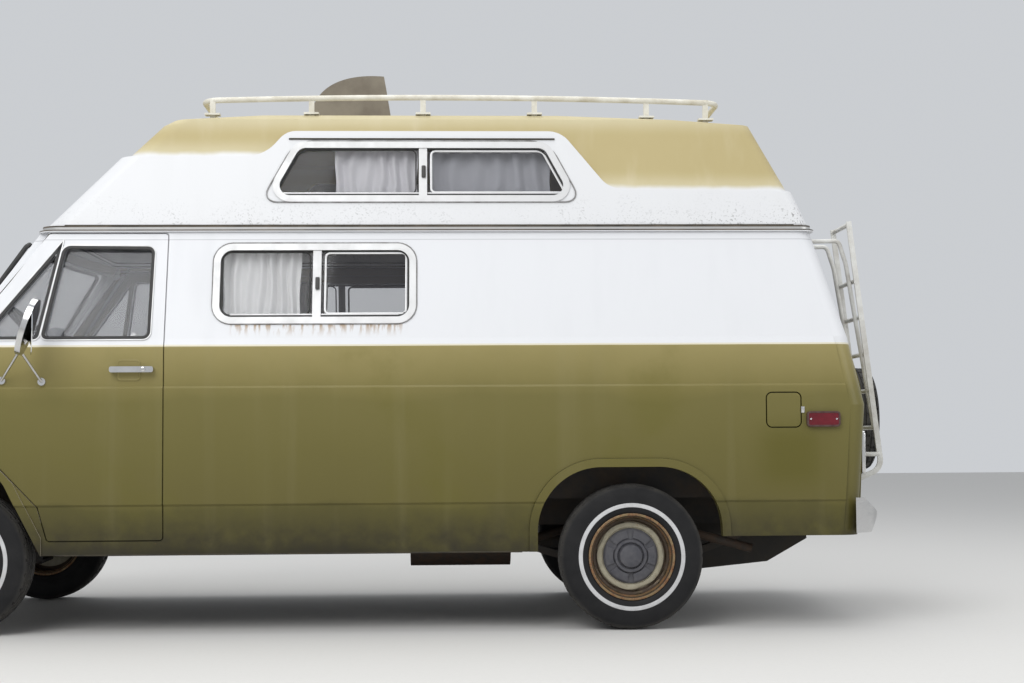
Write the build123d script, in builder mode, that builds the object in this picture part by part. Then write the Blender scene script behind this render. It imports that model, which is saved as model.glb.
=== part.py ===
from build123d import *
import math
import os

# High-roof camper van, in millimetres.
# The front is at -X, the driver's side at -Y and the ground at Z = 0.
# The origin is on the ground, midway between the front bumper and the spare tyre.

# Main sizes
wheelbase = 3175
front_overhang = 815        # front axle to bumper face
spare_reach = 1492          # rear axle to spare tyre face
overall_length = front_overhang + wheelbase + spare_reach
rear_axle_x = overall_length / 2 - spare_reach
front_axle_x = rear_axle_x - wheelbase
wall = 55                   # body side, door and lining together
skin = 8                    # outer sheet of a door, lapping over its frame
lap = 22                    # how far that sheet laps past the door's inner frame
shut_gap = 6                # gap round every door and lid
jamb_step = 8               # how far the jamb shows behind a door's edge
roof_frame_in = 790         # half width of the opening in the steel roof
side_reach = 400            # from there out past the body's side

# Heights of the body
sill_z = 374
tail_z = 440                # lower edge of the body behind the rear wheel
crease_z = 605
nose_top_z = 1060
belt_z = 1157
cowl_z = 1345
glass_base_z = 1386
rail_z = 1907               # drip rail, where the steel body ends
floor_z = 640
floor_thickness = 25

# Half widths of the body at those heights
sill_w = 985
low_panel_w = 1000
belt_w = 1009
shoulder_w = 1003
rail_w = 872

# Fore and aft reach of the body, from the rear axle
tail_x = rear_axle_x + 1132
glass_rear_x = rear_axle_x + 1058
rail_rear_x = rear_axle_x + 910
rail_front_x = rear_axle_x - 2932
glass_foot_x = rear_axle_x - 3291
hood_rear_x = rear_axle_x - 3400
hood_front_x = rear_axle_x - 3760
nose_x = rear_axle_x - 3868

# Wheel openings
flare_w = 40
flare_proud = 9

# Wheels
tyre_r = 345
tyre_w = 200
bead_r = 195
track_half = 875            # centreline to middle of tyre
kingpin_y = 820
steer_pin_r = 10
spindle_r = 20.5
hub_bore_r = 21

# Height, half width, rear end and front end of the body
body_sections = [
    (sill_z, sill_w, tail_x - 44, nose_x + 18),
    (crease_z - 5, low_panel_w, tail_x - 20, nose_x),
    (crease_z + 5, low_panel_w + 8, tail_x - 19, nose_x),
    (nose_top_z, belt_w, tail_x, nose_x + 24),
    (belt_z - 5, belt_w + 1, tail_x - 14, hood_front_x - 10),
    (belt_z + 5, shoulder_w, tail_x - 16, hood_front_x + 12),
    (cowl_z, shoulder_w, tail_x - 64, hood_rear_x),
    (glass_base_z, 991, glass_rear_x, glass_foot_x),
    (rail_z, rail_w, rail_rear_x, rail_front_x),
]
rear_corner_r = 85
nose_corner_r = 190
nose_bow = 50               # how far the middle of the nose stands ahead of its corners
pillar_corner_r = 55
glass_bow = 110


def half_width(z):
    """Half width of the body's outer surface at height z."""
    for low, high in zip(body_sections, body_sections[1:]):
        if z <= high[0]:
            break
    share = (z - low[0]) / (high[0] - low[0])
    return low[1] + share * (high[1] - low[1])


def bowed_front(depth):
    """Plan outline with the nose's bowed front and rounded corners, moved inward by depth."""
    half = sill_w + 200
    front = nose_x + depth
    corner = front + nose_bow
    side = belt_w + 1 - depth
    radius = nose_corner_r - depth
    with BuildSketch() as plan:
        with BuildLine():
            Polyline((corner + radius, side), (corner + radius, half), (overall_length, half),
                     (overall_length, -half), (corner + radius, -half), (corner + radius, -side))
            RadiusArc((corner, side - radius), (corner + radius, side), radius)
            RadiusArc((corner + radius, -side), (corner, radius - side), radius)
            ThreePointArc((corner, side - radius), (front, 0), (corner, radius - side))
        make_face()
    return plan.sketch


def body_form(depth, through=False):
    """The body's outer form moved inward by depth; through carries it past both ends."""
    rows = [(z, half - depth, rear - depth, front + depth) for z, half, rear, front in body_sections]
    if through:
        below, above = 200, 60
        z, half, rear, front = rows[0]
        rows.insert(0, (z - below, half, rear, front))
        (z0, half0, rear0, front0), (z, half, rear, front) = rows[-2:]
        run = above / (z - z0)
        rows.append((z + above, half + run * (half - half0), rear + run * (rear - rear0),
                     front + run * (front - front0)))
    with BuildPart() as form:
        with BuildSketch(Plane.YZ.offset(-overall_length / 2)):
            with BuildLine():
                Polyline(*[(half, z) for z, half, rear, front in rows],
                         *[(-half, z) for z, half, rear, front in reversed(rows)], close=True)
            make_face()
        extrude(amount=overall_length)
        with BuildSketch(Plane.XZ):
            with BuildLine():
                Polyline(*[(rear, z) for z, half, rear, front in rows],
                         *[(front, z) for z, half, rear, front in reversed(rows)], close=True)
            make_face()
        extrude(amount=sill_w + 200, both=True, mode=Mode.INTERSECT)
        with BuildSketch(Plane.XY):
            add(bowed_front(depth))
        extrude(amount=2 * rail_z, mode=Mode.INTERSECT)
        for side in (-1, 1):
            add(windscreen_trim(side, depth), mode=Mode.SUBTRACT)
            if depth == 0:
                for low, high in ((0, 3), (3, 7), (7, 8)):
                    add(rear_corner_trim(rows[low], rows[high], side), mode=Mode.SUBTRACT)
    return form.part


def rear_corner_trim(low, high, side):
    """What rounds one rear corner of the body between two heights."""
    z, half, rear, front = low
    rise = Vector(high[2] - rear, side * (high[1] - half), high[0] - z)
    radius = rear_corner_r
    with BuildPart() as trim:
        with BuildSketch(Plane.XY.offset(z)):
            with BuildLine():
                Polyline((rear - radius, side * half), (rear - radius, side * (half + 60)),
                         (rear + 60, side * (half + 60)), (rear + 60, side * (half - radius)),
                         (rear, side * (half - radius)))
                RadiusArc((rear, side * (half - radius)), (rear - radius, side * half), -side * radius)
            make_face()
        extrude(amount=rise.length, dir=rise)
    return trim.part


def windscreen_trim(side, depth):
    """What the windscreen's bow and the rounded pillar take off one side of the wedge-shaped front."""
    foot_z, foot_w, rear, foot_x = body_sections[-2]
    head_z, head_w, rear, head_x = body_sections[-1]
    radius = pillar_corner_r
    corner = foot_x + glass_bow + depth
    half = foot_w - depth
    rise = Vector(head_x - foot_x, side * (head_w - foot_w), head_z - foot_z)
    with BuildPart() as trim:
        with BuildSketch(Plane.XY.offset(foot_z)):
            with BuildLine():
                Polyline((corner, side * (half - radius)), (foot_x - 400, side * (half - radius)),
                         (foot_x - 400, side * (half + 200)), (corner + radius, side * (half + 200)),
                         (corner + radius, side * half))
                RadiusArc((corner + radius, side * half), (corner, side * (half - radius)), side * radius)
            make_face()
        extrude(amount=rise.length * 1.2, dir=rise)
        with BuildSketch(Plane.XY.offset(foot_z)):
            with BuildLine():
                Polyline((corner, side * (half - radius)), (foot_x - 400, side * (half - radius)),
                         (foot_x - 400, 0), (foot_x + depth, 0))
                bow = bow_arc((foot_x + depth, 0), (corner, side * (half - radius)), side)
            make_face()
        extrude(amount=rise.length * 1.2, dir=rise)
    return trim.part


def bow_arc(middle, end, side):
    """Half of the windscreen's bow, square to the centreline at its middle."""
    return TangentArc(middle, end, tangent=(0, side))


def prism(outline, plane, reach, grow=0):
    """Straight prism of an outline drawn on a plane, grown or shrunk all round."""
    with BuildPart() as block:
        with BuildSketch(plane):
            add(outline)
            if grow:
                offset(amount=grow, kind=Kind.INTERSECTION)
        extrude(amount=reach)
    return block.part


def outline_of(points, radius=0):
    """Closed outline through points, with equal rounded corners."""
    with BuildSketch() as shape:
        with BuildLine():
            Polyline(*points, close=True)
        make_face()
        if radius:
            fillet(shape.vertices(), radius)
    return shape.sketch


def leaning_slab(foot, head, outside, inside, side):
    """Length of leaning wall between two (half width, height) points, between two depths."""
    with BuildPart() as slab:
        with BuildSketch(Plane.YZ.offset(-overall_length / 2)):
            with BuildLine():
                Polyline((side * (foot[0] - outside), foot[1]), (side * (head[0] - outside), head[1]),
                         (side * (head[0] - inside), head[1]), (side * (foot[0] - inside), foot[1]),
                         close=True)
            make_face()
        extrude(amount=overall_length)
    return slab.part


def finish(piece, name):
    """Name a finished piece and write it."""
    piece.label = name
    export_step(piece, f"parts/{name}.step")


os.makedirs("parts", exist_ok=True)
sides = {"left": -1, "right": 1}

# The body's forms, from the outer surface inwards
outer = body_form(0)
under_skin = body_form(skin, through=True)
under_gap = body_form(skin + shut_gap, through=True)
inner = body_form(wall, through=True)
proud = body_form(-flare_proud)
slide_door_depth = 40
slide_door_seat = 14        # how far the sliding door laps over its jamb
slide_door_inner = body_form(slide_door_depth, through=True)
flap_floor = 12             # body left behind the fuel flap
shell = outer - inner

# Outlines in the side view
pillar_x = rear_axle_x - 2204
door_hinge_x = rear_axle_x - 3150
door_front_low_x = rear_axle_x - 2736
cab_door_outline = outline_of([
    (pillar_x, tail_z + 4), (pillar_x, rail_z - 11), (rear_axle_x - 2767, rail_z - 11),
    (door_hinge_x, 1402), (door_hinge_x, 830), (rear_axle_x - 2960, 790),
    (rear_axle_x - 2780, crease_z - 2), (door_front_low_x, tail_z + 4)], 14)
cab_window_outline = outline_of([
    (rear_axle_x - 2276, 1393), (rear_axle_x - 2271, 1824), (rear_axle_x - 2690, 1828),
    (rear_axle_x - 2768, 1393)], 26)
vent_window_outline = outline_of([
    (rear_axle_x - 2796, 1393), (rear_axle_x - 2716, 1824), (rear_axle_x - 3046, 1393)], 12)
camper_window = ((rear_axle_x - 1953, 1485), (rear_axle_x - 1046, 1819))
flap_centre = (rear_axle_x + 727, 1036)
flap_size = 160


def wheel_arch(points, corner_r, grow):
    """Wheel opening with its two upper corners rounded."""
    with BuildSketch() as shape:
        with BuildLine():
            Polyline(*points, close=True)
        make_face()
        offset(amount=grow, kind=Kind.INTERSECTION)
        fillet(shape.vertices().group_by(Axis.Y)[-1], corner_r + grow)
    return shape.sketch


rear_arch_points = [
    (rear_axle_x - 447, 200), (rear_axle_x - 447, 770), (rear_axle_x + 418, 770),
    (rear_axle_x + 440, 200)]
front_arch_points = [
    (front_axle_x + 495, 200), (front_axle_x + 205, 775), (front_axle_x - 205, 775),
    (front_axle_x - 495, 200)]


def window_outline(box, radius, grow=0):
    """Rounded rectangle between two corners."""
    (x0, z0), (x1, z1) = box
    with BuildSketch() as shape:
        with Locations(((x0 + x1) / 2, (z0 + z1) / 2)):
            RectangleRounded(x1 - x0 + 2 * grow, z1 - z0 + 2 * grow, radius + grow)
    return shape.sketch


def from_side(side):
    """Plane just inside one body side; a prism on it runs outward."""
    return Plane((0, side * roof_frame_in, 0), x_dir=(1, 0, 0), z_dir=(0, -1, 0))


def side_prism(outline, side, grow=0):
    """Prism of a side-view outline through one body side."""
    return prism(outline, from_side(side), -side * side_reach, grow)


def cut_doorway(outline, plane, reach):
    """Take a door's shut line and its jamb out of the body being built."""
    add(prism(outline, plane, reach, shut_gap) - under_gap, mode=Mode.SUBTRACT)
    add(prism(outline, plane, reach, -jamb_step), mode=Mode.SUBTRACT)


def door_leaf(outline, plane, reach):
    """A door: its outer sheet, with the thicker inner frame behind it."""
    with BuildPart() as leaf:
        add(prism(outline, plane, reach) & (outer - under_skin))
        add(prism(outline, plane, reach, -lap) & (under_skin - inner))
    return leaf.part


def lower_tail_block(side):
    """Space under the raised tail behind a rear wheel."""
    with BuildPart() as block:
        with Locations((tail_x, side * 900, tail_z / 2)):
            Box(2 * (tail_x - rear_axle_x - 430), 400, tail_z)
    return block.part


# Side panels, with the sill below the cab door
split_x = rear_axle_x - 2765
rear_frame_w = 880
rear_frame_deep = 300       # from the tail forward
slide_door_outline = window_outline(((rear_axle_x - 2130, sill_z + 40), (rear_axle_x - 860, rail_z - 30)), 40)
flap_outline = window_outline(((flap_centre[0] - flap_size / 2, flap_centre[1] - flap_size / 2),
                               (flap_centre[0] + flap_size / 2, flap_centre[1] + flap_size / 2)), 24)
lip_gap = 1
lips = []
for name, side in sides.items():
    with BuildPart() as panel:
        add(shell)
        with Locations(((split_x + tail_x + 20) / 2, side * (roof_frame_in + 200), rail_z / 2)):
            Box(tail_x + 20 - split_x, 400, rail_z, mode=Mode.INTERSECT)
        # the rear door frame starts inboard of the rounded corner
        with Locations((tail_x - rear_frame_deep + 200, 0, rail_z / 2)):
            Box(400, 2 * rear_frame_w, rail_z + 200, mode=Mode.SUBTRACT)
        add(lower_tail_block(side), mode=Mode.SUBTRACT)
        cut_doorway(cab_door_outline, from_side(side), -side * side_reach)
        lip_room = side_prism(wheel_arch(rear_arch_points, 300, flare_w), side)
        lip = ((lip_room & panel.part) + (lip_room & (proud - under_gap))
               - side_prism(wheel_arch(rear_arch_points, 300, 0), side) - lower_tail_block(side))
        add(side_prism(wheel_arch(rear_arch_points, 300, flare_w + lip_gap), side), mode=Mode.SUBTRACT)
        if side < 0:
            add(side_prism(window_outline(camper_window, 62), side), mode=Mode.SUBTRACT)
            add(side_prism(flap_outline, side, shut_gap) - body_form(wall - flap_floor, through=True),
                mode=Mode.SUBTRACT)
        else:
            add(side_prism(slide_door_outline, side, shut_gap) - slide_door_inner, mode=Mode.SUBTRACT)
            add(side_prism(slide_door_outline, side, -slide_door_seat), mode=Mode.SUBTRACT)
    lips.append(lip)
    finish(panel.part, f"side_panel_{name}")
with BuildPart() as wheel_lips:
    for lip in lips:
        add(lip)
finish(wheel_lips.part, "wheel_lips")

# Nose: fenders, windscreen pillars, cowl and front panel
grille_box = ((-560, 735), (560, 1005))
lamp_y = 715
lamp_z = 872
lamp_r = 92
hood_half = 690
hood_outline = outline_of([
    (hood_rear_x + 8, -hood_half), (hood_rear_x + 8, hood_half),
    (nose_x - 100, hood_half), (nose_x - 100, -hood_half)], 40)
windscreen_outline = outline_of([(-885, 1414), (885, 1414), (790, 1862), (-790, 1862)], 60)
front_reach = -2000
front_plane = Plane.YZ.offset(rear_axle_x - 2500)
hood_plane = Plane.XY.offset(nose_top_z)
with BuildPart() as nose:
    add(shell)
    with Locations((split_x - 1000, 0, rail_z / 2)):
        Box(2000, 2400, rail_z, mode=Mode.INTERSECT)
    for side in sides.values():
        cut_doorway(cab_door_outline, from_side(side), -side * side_reach)
        add(side_prism(wheel_arch(front_arch_points, 150, 0), side), mode=Mode.SUBTRACT)
        flare = side_prism(wheel_arch(front_arch_points, 150, flare_w), side) & (proud - under_gap)
        with Locations((split_x - 1000, 0, rail_z / 2)):
            nose_room = Box(2000, 2400, rail_z, mode=Mode.PRIVATE)
        add((flare - side_prism(wheel_arch(front_arch_points, 150, 0), side)
             - side_prism(cab_door_outline, side, shut_gap)) & nose_room)
    add(prism(windscreen_outline, front_plane, front_reach), mode=Mode.SUBTRACT)
    add(prism(window_outline(grille_box, 30), front_plane, front_reach), mode=Mode.SUBTRACT)
    with Locations(*[Location((nose_x, y, lamp_z), (0, 90, 0)) for y in (-lamp_y, lamp_y)]):
        Cylinder(lamp_r + 2, 500, mode=Mode.SUBTRACT)
    add(prism(hood_outline, hood_plane, 600, shut_gap), mode=Mode.SUBTRACT)
finish(nose.part, "nose_panels")

with BuildPart() as hood:
    add(prism(hood_outline, hood_plane.offset(shut_gap), 600) & (outer - slide_door_inner))
finish(hood.part, "hood")

# Sliding door on the right, shut against its jamb
with BuildPart() as sliding_door:
    add(side_prism(slide_door_outline, 1) & (outer - slide_door_inner))
    add(side_prism(window_outline(camper_window, 62), 1), mode=Mode.SUBTRACT)
finish(sliding_door.part, "sliding_door")

# Cab doors with their glass, handle and mirror
glass_depth = 22
glass_thickness = 5
glass_foot = (991, glass_base_z)
glass_head = (rail_w, rail_z)
handle_x = rear_axle_x - 2346
handle_z = 1241
mirror_x = rear_axle_x - 2790
mirror_y = 1175
mirror_z = 1432
mirror_turn = 18
arm_r = 7
for name, side in sides.items():
    with BuildPart() as cab_door:
        add(door_leaf(cab_door_outline, from_side(side), -side * side_reach))
        for outline in (cab_window_outline, vent_window_outline):
            add(side_prism(outline, side), mode=Mode.SUBTRACT)
    finish(cab_door.part, f"cab_door_{name}")

    pane_wall = leaning_slab(glass_foot, glass_head, glass_depth, glass_depth + glass_thickness, side)
    with BuildPart() as cab_glass:
        for outline in (cab_window_outline, vent_window_outline):
            add(side_prism(outline, side) & pane_wall)
    finish(cab_glass.part, f"cab_glass_{name}")

# Handle and mirror of the left door; the right door's are their mirror image
side = sides["left"]
with BuildPart() as chrome:
    # handle: a bar on two feet
    with BuildSketch(Plane((handle_x, side * shoulder_w, handle_z), x_dir=(1, 0, 0),
                           z_dir=(0, side, 0))):
        with Locations((-88, 0), (88, 0)):
            RectangleRounded(26, 28, 8)
    extrude(amount=22)
    with BuildSketch(Plane((handle_x, side * (shoulder_w + 22), handle_z), x_dir=(1, 0, 0),
                           z_dir=(0, side, 0))):
        RectangleRounded(204, 28, 10)
    extrude(amount=12)
with BuildPart() as door_mirror:
    # an oval head, turned a little towards the driver
    head_plane = Plane((mirror_x, side * mirror_y, mirror_z), x_dir=(0, side, 0), z_dir=(side, 0, 0))
    with BuildSketch(head_plane.rotated((0, -side * mirror_turn, 0))):
        Ellipse(78, 135)
    extrude(amount=13, both=True)
    elbow = (mirror_x - 40, side * (mirror_y - 25), mirror_z - 105)
    feet = [(mirror_x + 25, side * (shoulder_w + 8), 1186), (mirror_x - 160, side * (shoulder_w + 8), 1192)]
    for foot in feet:
        with BuildSketch(Plane(foot, z_dir=Vector(*elbow) - Vector(*foot))):
            Circle(arm_r)
        extrude(amount=(Vector(*elbow) - Vector(*foot)).length)
        with BuildSketch(Plane((foot[0], side * shoulder_w, foot[2]), z_dir=(0, side, 0))):
            Circle(18)
        extrude(amount=10)
    with Locations(elbow):
        Sphere(12)
    reach_up = Vector(mirror_x, side * mirror_y, mirror_z - 60) - Vector(*elbow)
    with BuildSketch(Plane(elbow, z_dir=reach_up)):
        Circle(arm_r)
    extrude(amount=reach_up.length)
with BuildPart() as door_chrome:
    add(chrome.part)
    add(door_mirror.part)
finish(door_chrome.part, "door_chrome_left")
with BuildPart() as far_chrome:
    mirror(door_chrome.part, about=Plane.XZ)
finish(far_chrome.part, "door_chrome_right")

# Rear door frame and doors
rear_door_half = 800
rear_door_foot = 632
rear_door_head = 1884
rear_plane = Plane.YZ.offset(rear_axle_x + 700)
rear_prism_reach = 800
with BuildPart() as rear_frame:
    add(shell)
    with Locations((tail_x - rear_frame_deep + 200, 0, (tail_z + rail_z) / 2)):
        Box(400, 2 * rear_frame_w, rail_z - tail_z, mode=Mode.INTERSECT)
    for side in sides.values():
        leaf = outline_of([(side * 3, rear_door_foot), (side * rear_door_half, rear_door_foot),
                           (side * rear_door_half, rear_door_head), (side * 3, rear_door_head)])
        add(prism(leaf, rear_plane, rear_prism_reach, shut_gap) - under_gap, mode=Mode.SUBTRACT)
    opening = outline_of([(-rear_door_half, rear_door_foot), (rear_door_half, rear_door_foot),
                          (rear_door_half, rear_door_head), (-rear_door_half, rear_door_head)])
    add(prism(opening, rear_plane, rear_prism_reach, -jamb_step), mode=Mode.SUBTRACT)
finish(rear_frame.part, "rear_frame")

rear_glass_slope = [(rail_rear_x, rail_z), (glass_rear_x, glass_base_z)]
for name, side in sides.items():
    leaf = outline_of([(side * 3, rear_door_foot), (side * rear_door_half, rear_door_foot),
                       (side * rear_door_half, rear_door_head), (side * 3, rear_door_head)], 0)
    pane = outline_of([(side * 90, 1420), (side * 700, 1420), (side * 660, 1800), (side * 90, 1800)], 50)
    with BuildPart() as rear_door:
        add(door_leaf(leaf, rear_plane, rear_prism_reach))
        add(prism(pane, rear_plane, rear_prism_reach), mode=Mode.SUBTRACT)
    finish(rear_door.part, f"rear_door_{name}")
    with BuildPart() as rear_glass:
        with BuildSketch(Plane.XZ):
            with BuildLine():
                (x1, z1), (x0, z0) = rear_glass_slope
                Polyline((x0 - glass_depth, z0), (x1 - glass_depth, z1),
                         (x1 - glass_depth - 6, z1), (x0 - glass_depth - 6, z0), close=True)
            make_face()
        extrude(amount=sill_w, both=True)
        add(prism(pane, rear_plane, rear_prism_reach), mode=Mode.INTERSECT)
    finish(rear_glass.part, f"rear_glass_{name}")

# Windscreen, in its opening
with BuildPart() as windscreen:
    add(body_form(glass_depth, through=True) - body_form(glass_depth + 8, through=True))
    add(prism(windscreen_outline, front_plane, front_reach), mode=Mode.INTERSECT)
    with Locations((split_x - 1000, 0, rail_z - 400)):
        Box(2000, 2400, 1000, mode=Mode.INTERSECT)
finish(windscreen.part, "windscreen")

# Ring round the top of the steel body, with the drip rail along its foot
ring_height = 30
rail_proud = 13
ring_front_r = 100
ring_rear_r = 60
with BuildPart() as roof_frame:
    front_side_x = rail_front_x + glass_bow
    for low, height, out in ((rail_z, ring_height, 0), (rail_z, 9, rail_proud)):
        with BuildSketch(Plane.XY.offset(low)):
            with BuildLine():
                half = rail_w + out
                front = front_side_x - out
                rear = rail_rear_x + out
                Line((rear, ring_rear_r - half), (rear, half - ring_rear_r))
                RadiusArc((rear, half - ring_rear_r), (rear - ring_rear_r, half), -ring_rear_r)
                Line((rear - ring_rear_r, half), (front + ring_front_r, half))
                RadiusArc((front + ring_front_r, half), (front, half - ring_front_r), -ring_front_r)
                ThreePointArc((front, half - ring_front_r), (rail_front_x - out, 0),
                              (front, ring_front_r - half))
                RadiusArc((front, ring_front_r - half), (front + ring_front_r, -half), -ring_front_r)
                Line((front + ring_front_r, -half), (rear - ring_rear_r, -half))
                RadiusArc((rear - ring_rear_r, -half), (rear, ring_rear_r - half), -ring_rear_r)
            make_face()
        extrude(amount=height)
    with BuildSketch(Plane.XY.offset(rail_z)):
        with Locations(((rail_rear_x + rail_front_x + 60) / 2, 0)):
            RectangleRounded(rail_rear_x - rail_front_x - 220, 2 * roof_frame_in, 60)
    extrude(amount=ring_height, mode=Mode.SUBTRACT)
finish(roof_frame.part, "roof_frame")

# Glass-fibre high top
shell_t = 25
base_z = rail_z + ring_height
band_head_z = 2290
band_foot = (860, base_z)
band_head = (797, band_head_z)
ledge_z = 2124              # top of the lower band behind the windows
top_rear_x = rear_axle_x + 903
top_front_x = rear_axle_x - 2898
top_bow = 90                # how far the front's middle stands ahead of its corners
band_head_front_x = rear_axle_x - 2559
crown_rear_r = 80
top_front_r = 120
top_rear_r = 70
surround_z = 2415           # top of the raised wall round each side window
# height, half width, front and rear ends of the inset upper part
crown_sections = [
    (2100, 782, rear_axle_x - 2715, rear_axle_x + 831),
    (2462, 704, rear_axle_x - 2358, rear_axle_x + 647),
    (2488, 698, rear_axle_x - 2310, rear_axle_x + 300),
    (2510, 682, rear_axle_x - 1950, rear_axle_x - 250),
    (2533, 560, rear_axle_x - 1500, rear_axle_x - 700),
]


def roof_edge_z(x):
    """Height of the roof under the rack's posts."""
    low, high = crown_sections[2], crown_sections[3]
    share = max(0, (x - high[3]) / (low[3] - high[3]), (high[2] - x) / (high[2] - low[2]))
    return pad_z + 9 - share * (high[0] - low[0])


def high_top_plan(z, half, front, rear, front_r, rear_r, bow):
    """Rounded plan outline of the high top at one height."""
    front_side = front + bow
    with BuildSketch(Plane.XY.offset(z)) as plan:
        with BuildLine():
            Line((rear, rear_r - half), (rear, half - rear_r))
            RadiusArc((rear, half - rear_r), (rear - rear_r, half), -rear_r)
            Line((rear - rear_r, half), (front_side + front_r, half))
            RadiusArc((front_side + front_r, half), (front_side, half - front_r), -front_r)
            ThreePointArc((front_side, half - front_r), (front, 0), (front_side, front_r - half))
            RadiusArc((front_side, front_r - half), (front_side + front_r, -half), -front_r)
            Line((front_side + front_r, -half), (rear - rear_r, -half))
            RadiusArc((rear - rear_r, -half), (rear, rear_r - half), -rear_r)
        make_face()
    return plan.sketch


def surround_profile(inset):
    """Side view of the lower band's top edge, which rises in round bends over the side window."""
    corners = [(-2100, 2050, 0), (-2100, band_head_z - 2, 0), (-1760, band_head_z - 2, 180),
               (-1650, surround_z, 100), (-310, surround_z, 130), (-77, ledge_z, 130),
               (300, ledge_z - 5, 0), (300, 2050, 0)]
    with BuildSketch() as shape:
        with BuildLine():
            Polyline(*[(rear_axle_x + x, z) for x, z, radius in corners], close=True)
        make_face()
        for x, z, radius in corners:
            if radius:
                bend = shape.vertices().sort_by_distance(Vector(rear_axle_x + x, z, 0))[0]
                fillet(bend, radius)
        if inset:
            offset(amount=-inset, kind=Kind.INTERSECTION)
    return shape.sketch


def high_top_form(inset):
    """Outer form of the high top moved inward: lower band, inset crown and window surrounds."""
    slope = (band_foot[0] - band_head[0]) / (band_head_z - base_z)
    low = 0 if inset == 0 else 60
    with BuildPart() as band:
        add(high_top_plan(base_z - low, band_foot[0] + slope * low - inset, top_front_x - low + inset,
                          top_rear_x - inset, top_front_r - inset, top_rear_r - inset, top_bow))
        add(high_top_plan(band_head_z, band_head[0] - inset, band_head_front_x + inset,
                          rear_axle_x + 755 - inset, top_front_r - inset, top_rear_r - inset, top_bow))
        loft(ruled=True)
        with BuildSketch(Plane.XZ):
            with BuildLine():
                Polyline((top_front_x - 200, base_z - 60), (top_front_x - 200, band_head_z - 2 - inset),
                         (rear_axle_x - 1500, band_head_z - 2 - inset), (rear_axle_x - 600, ledge_z - inset),
                         (rear_axle_x + 809, ledge_z - 12 - inset), (rear_axle_x + 1000, ledge_z - 48 - inset),
                         (rear_axle_x + 1000, base_z - 60), close=True)
            make_face()
        extrude(amount=1000, both=True, mode=Mode.INTERSECT)
    with BuildPart() as crown:
        for z, half, front, rear in crown_sections:
            lower = inset if z > band_head_z else 3 * inset
            add(high_top_plan(z - lower, half - inset, front + inset, rear - inset, 110 - inset,
                              crown_rear_r - inset, 80))
        loft(ruled=True)
    surround = surround_profile(inset)
    with BuildPart() as form:
        add(band.part)
        add(crown.part)
        for side in (-1, 1):
            with BuildPart() as dormer:
                head = surround_z + 20
                head_w = band_foot[0] - slope * (head - base_z)
                add(leaning_slab(band_foot, (head_w, head), inset, 260, side))
                add(prism(surround, Plane.XZ, -side * 1000), mode=Mode.INTERSECT)
            add(dormer.part)
    return form.part


top_window = [(rear_axle_x - 1720, 2085), (rear_axle_x - 1588, 2332),
              (rear_axle_x - 390, 2332), (rear_axle_x - 262, 2085)]
with BuildPart() as high_top:
    add(high_top_form(0))
    add(high_top_form(shell_t), mode=Mode.SUBTRACT)
    for side in (-1, 1):
        add(prism(outline_of(top_window, 55), Plane.XZ, -side * 1000), mode=Mode.SUBTRACT)
finish(high_top.part, "high_top")

# Window frames and panes, camper body below and high top above
frame_proud = 7
frame_edge = 32
divider_w = 40
camper_divider_x = rear_axle_x - 1490
top_divider_x = rear_axle_x - 985
window_sets = [
    # outline, corner, divider, wall's foot and head, wall thickness
    (window_outline(camper_window, 62), camper_divider_x, glass_foot, glass_head, slide_door_depth),
    (outline_of(top_window, 55), top_divider_x, band_foot, band_head, shell_t),
]


def slanted(foot, head, outside, inside, side):
    """Layer of a leaning wall carried well past its foot and head."""
    run = (foot[0] - head[0]) / (head[1] - foot[1])
    low = (foot[0] + 30 * run, foot[1] - 30)
    high = (head[0] - 140 * run, head[1] + 140)
    return leaning_slab(low, high, outside, inside, side)


with BuildPart() as window_frames:
    for outline, divider_x, foot, head, depth in window_sets:
        for side in (-1, 1):
            plane = Plane.XZ
            reach = -side * 1200
            inside = prism(outline, plane, reach, -4)
            with BuildPart() as frame:
                add(prism(outline, plane, reach, frame_edge - 4) & slanted(foot, head, -frame_proud, 0, side))
                add(prism(outline, plane, reach) & slanted(foot, head, 0, depth, side))
                add(inside, mode=Mode.SUBTRACT)
            with BuildPart() as divider:
                with Locations((divider_x, 0, foot[1] + 300)):
                    Box(divider_w, 2400, 900)
                add(inside & slanted(foot, head, -2, 14, side), mode=Mode.INTERSECT)
            add(frame.part)
            add(divider.part)
finish(window_frames.part, "window_frames")

with BuildPart() as window_panes:
    for outline, divider_x, foot, head, depth in window_sets:
        for side in (-1, 1):
            add(prism(outline, Plane.XZ, -side * 1200, -4) & slanted(foot, head, 14, 18, side))
finish(window_panes.part, "window_panes")

with BuildPart() as curtains:
    for side in (-1, 1):
        for x0, x1, foot, head, low, high in [
                (rear_axle_x - 1945, rear_axle_x - 1570, glass_foot, glass_head, 1480, 1828),
                (rear_axle_x - 1420, rear_axle_x - 1010, band_foot, band_head, 2085, 2335),
                (rear_axle_x - 960, rear_axle_x - 355, band_foot, band_head, 2085, 2325)]:
            room = outline_of([(x0, low), (x0, high), (x1, high), (x1, low)], 20)
            add(prism(room, Plane.XZ, -side * 1200) & slanted(foot, head, 60, 80, side))
finish(curtains.part, "curtains")

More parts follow.
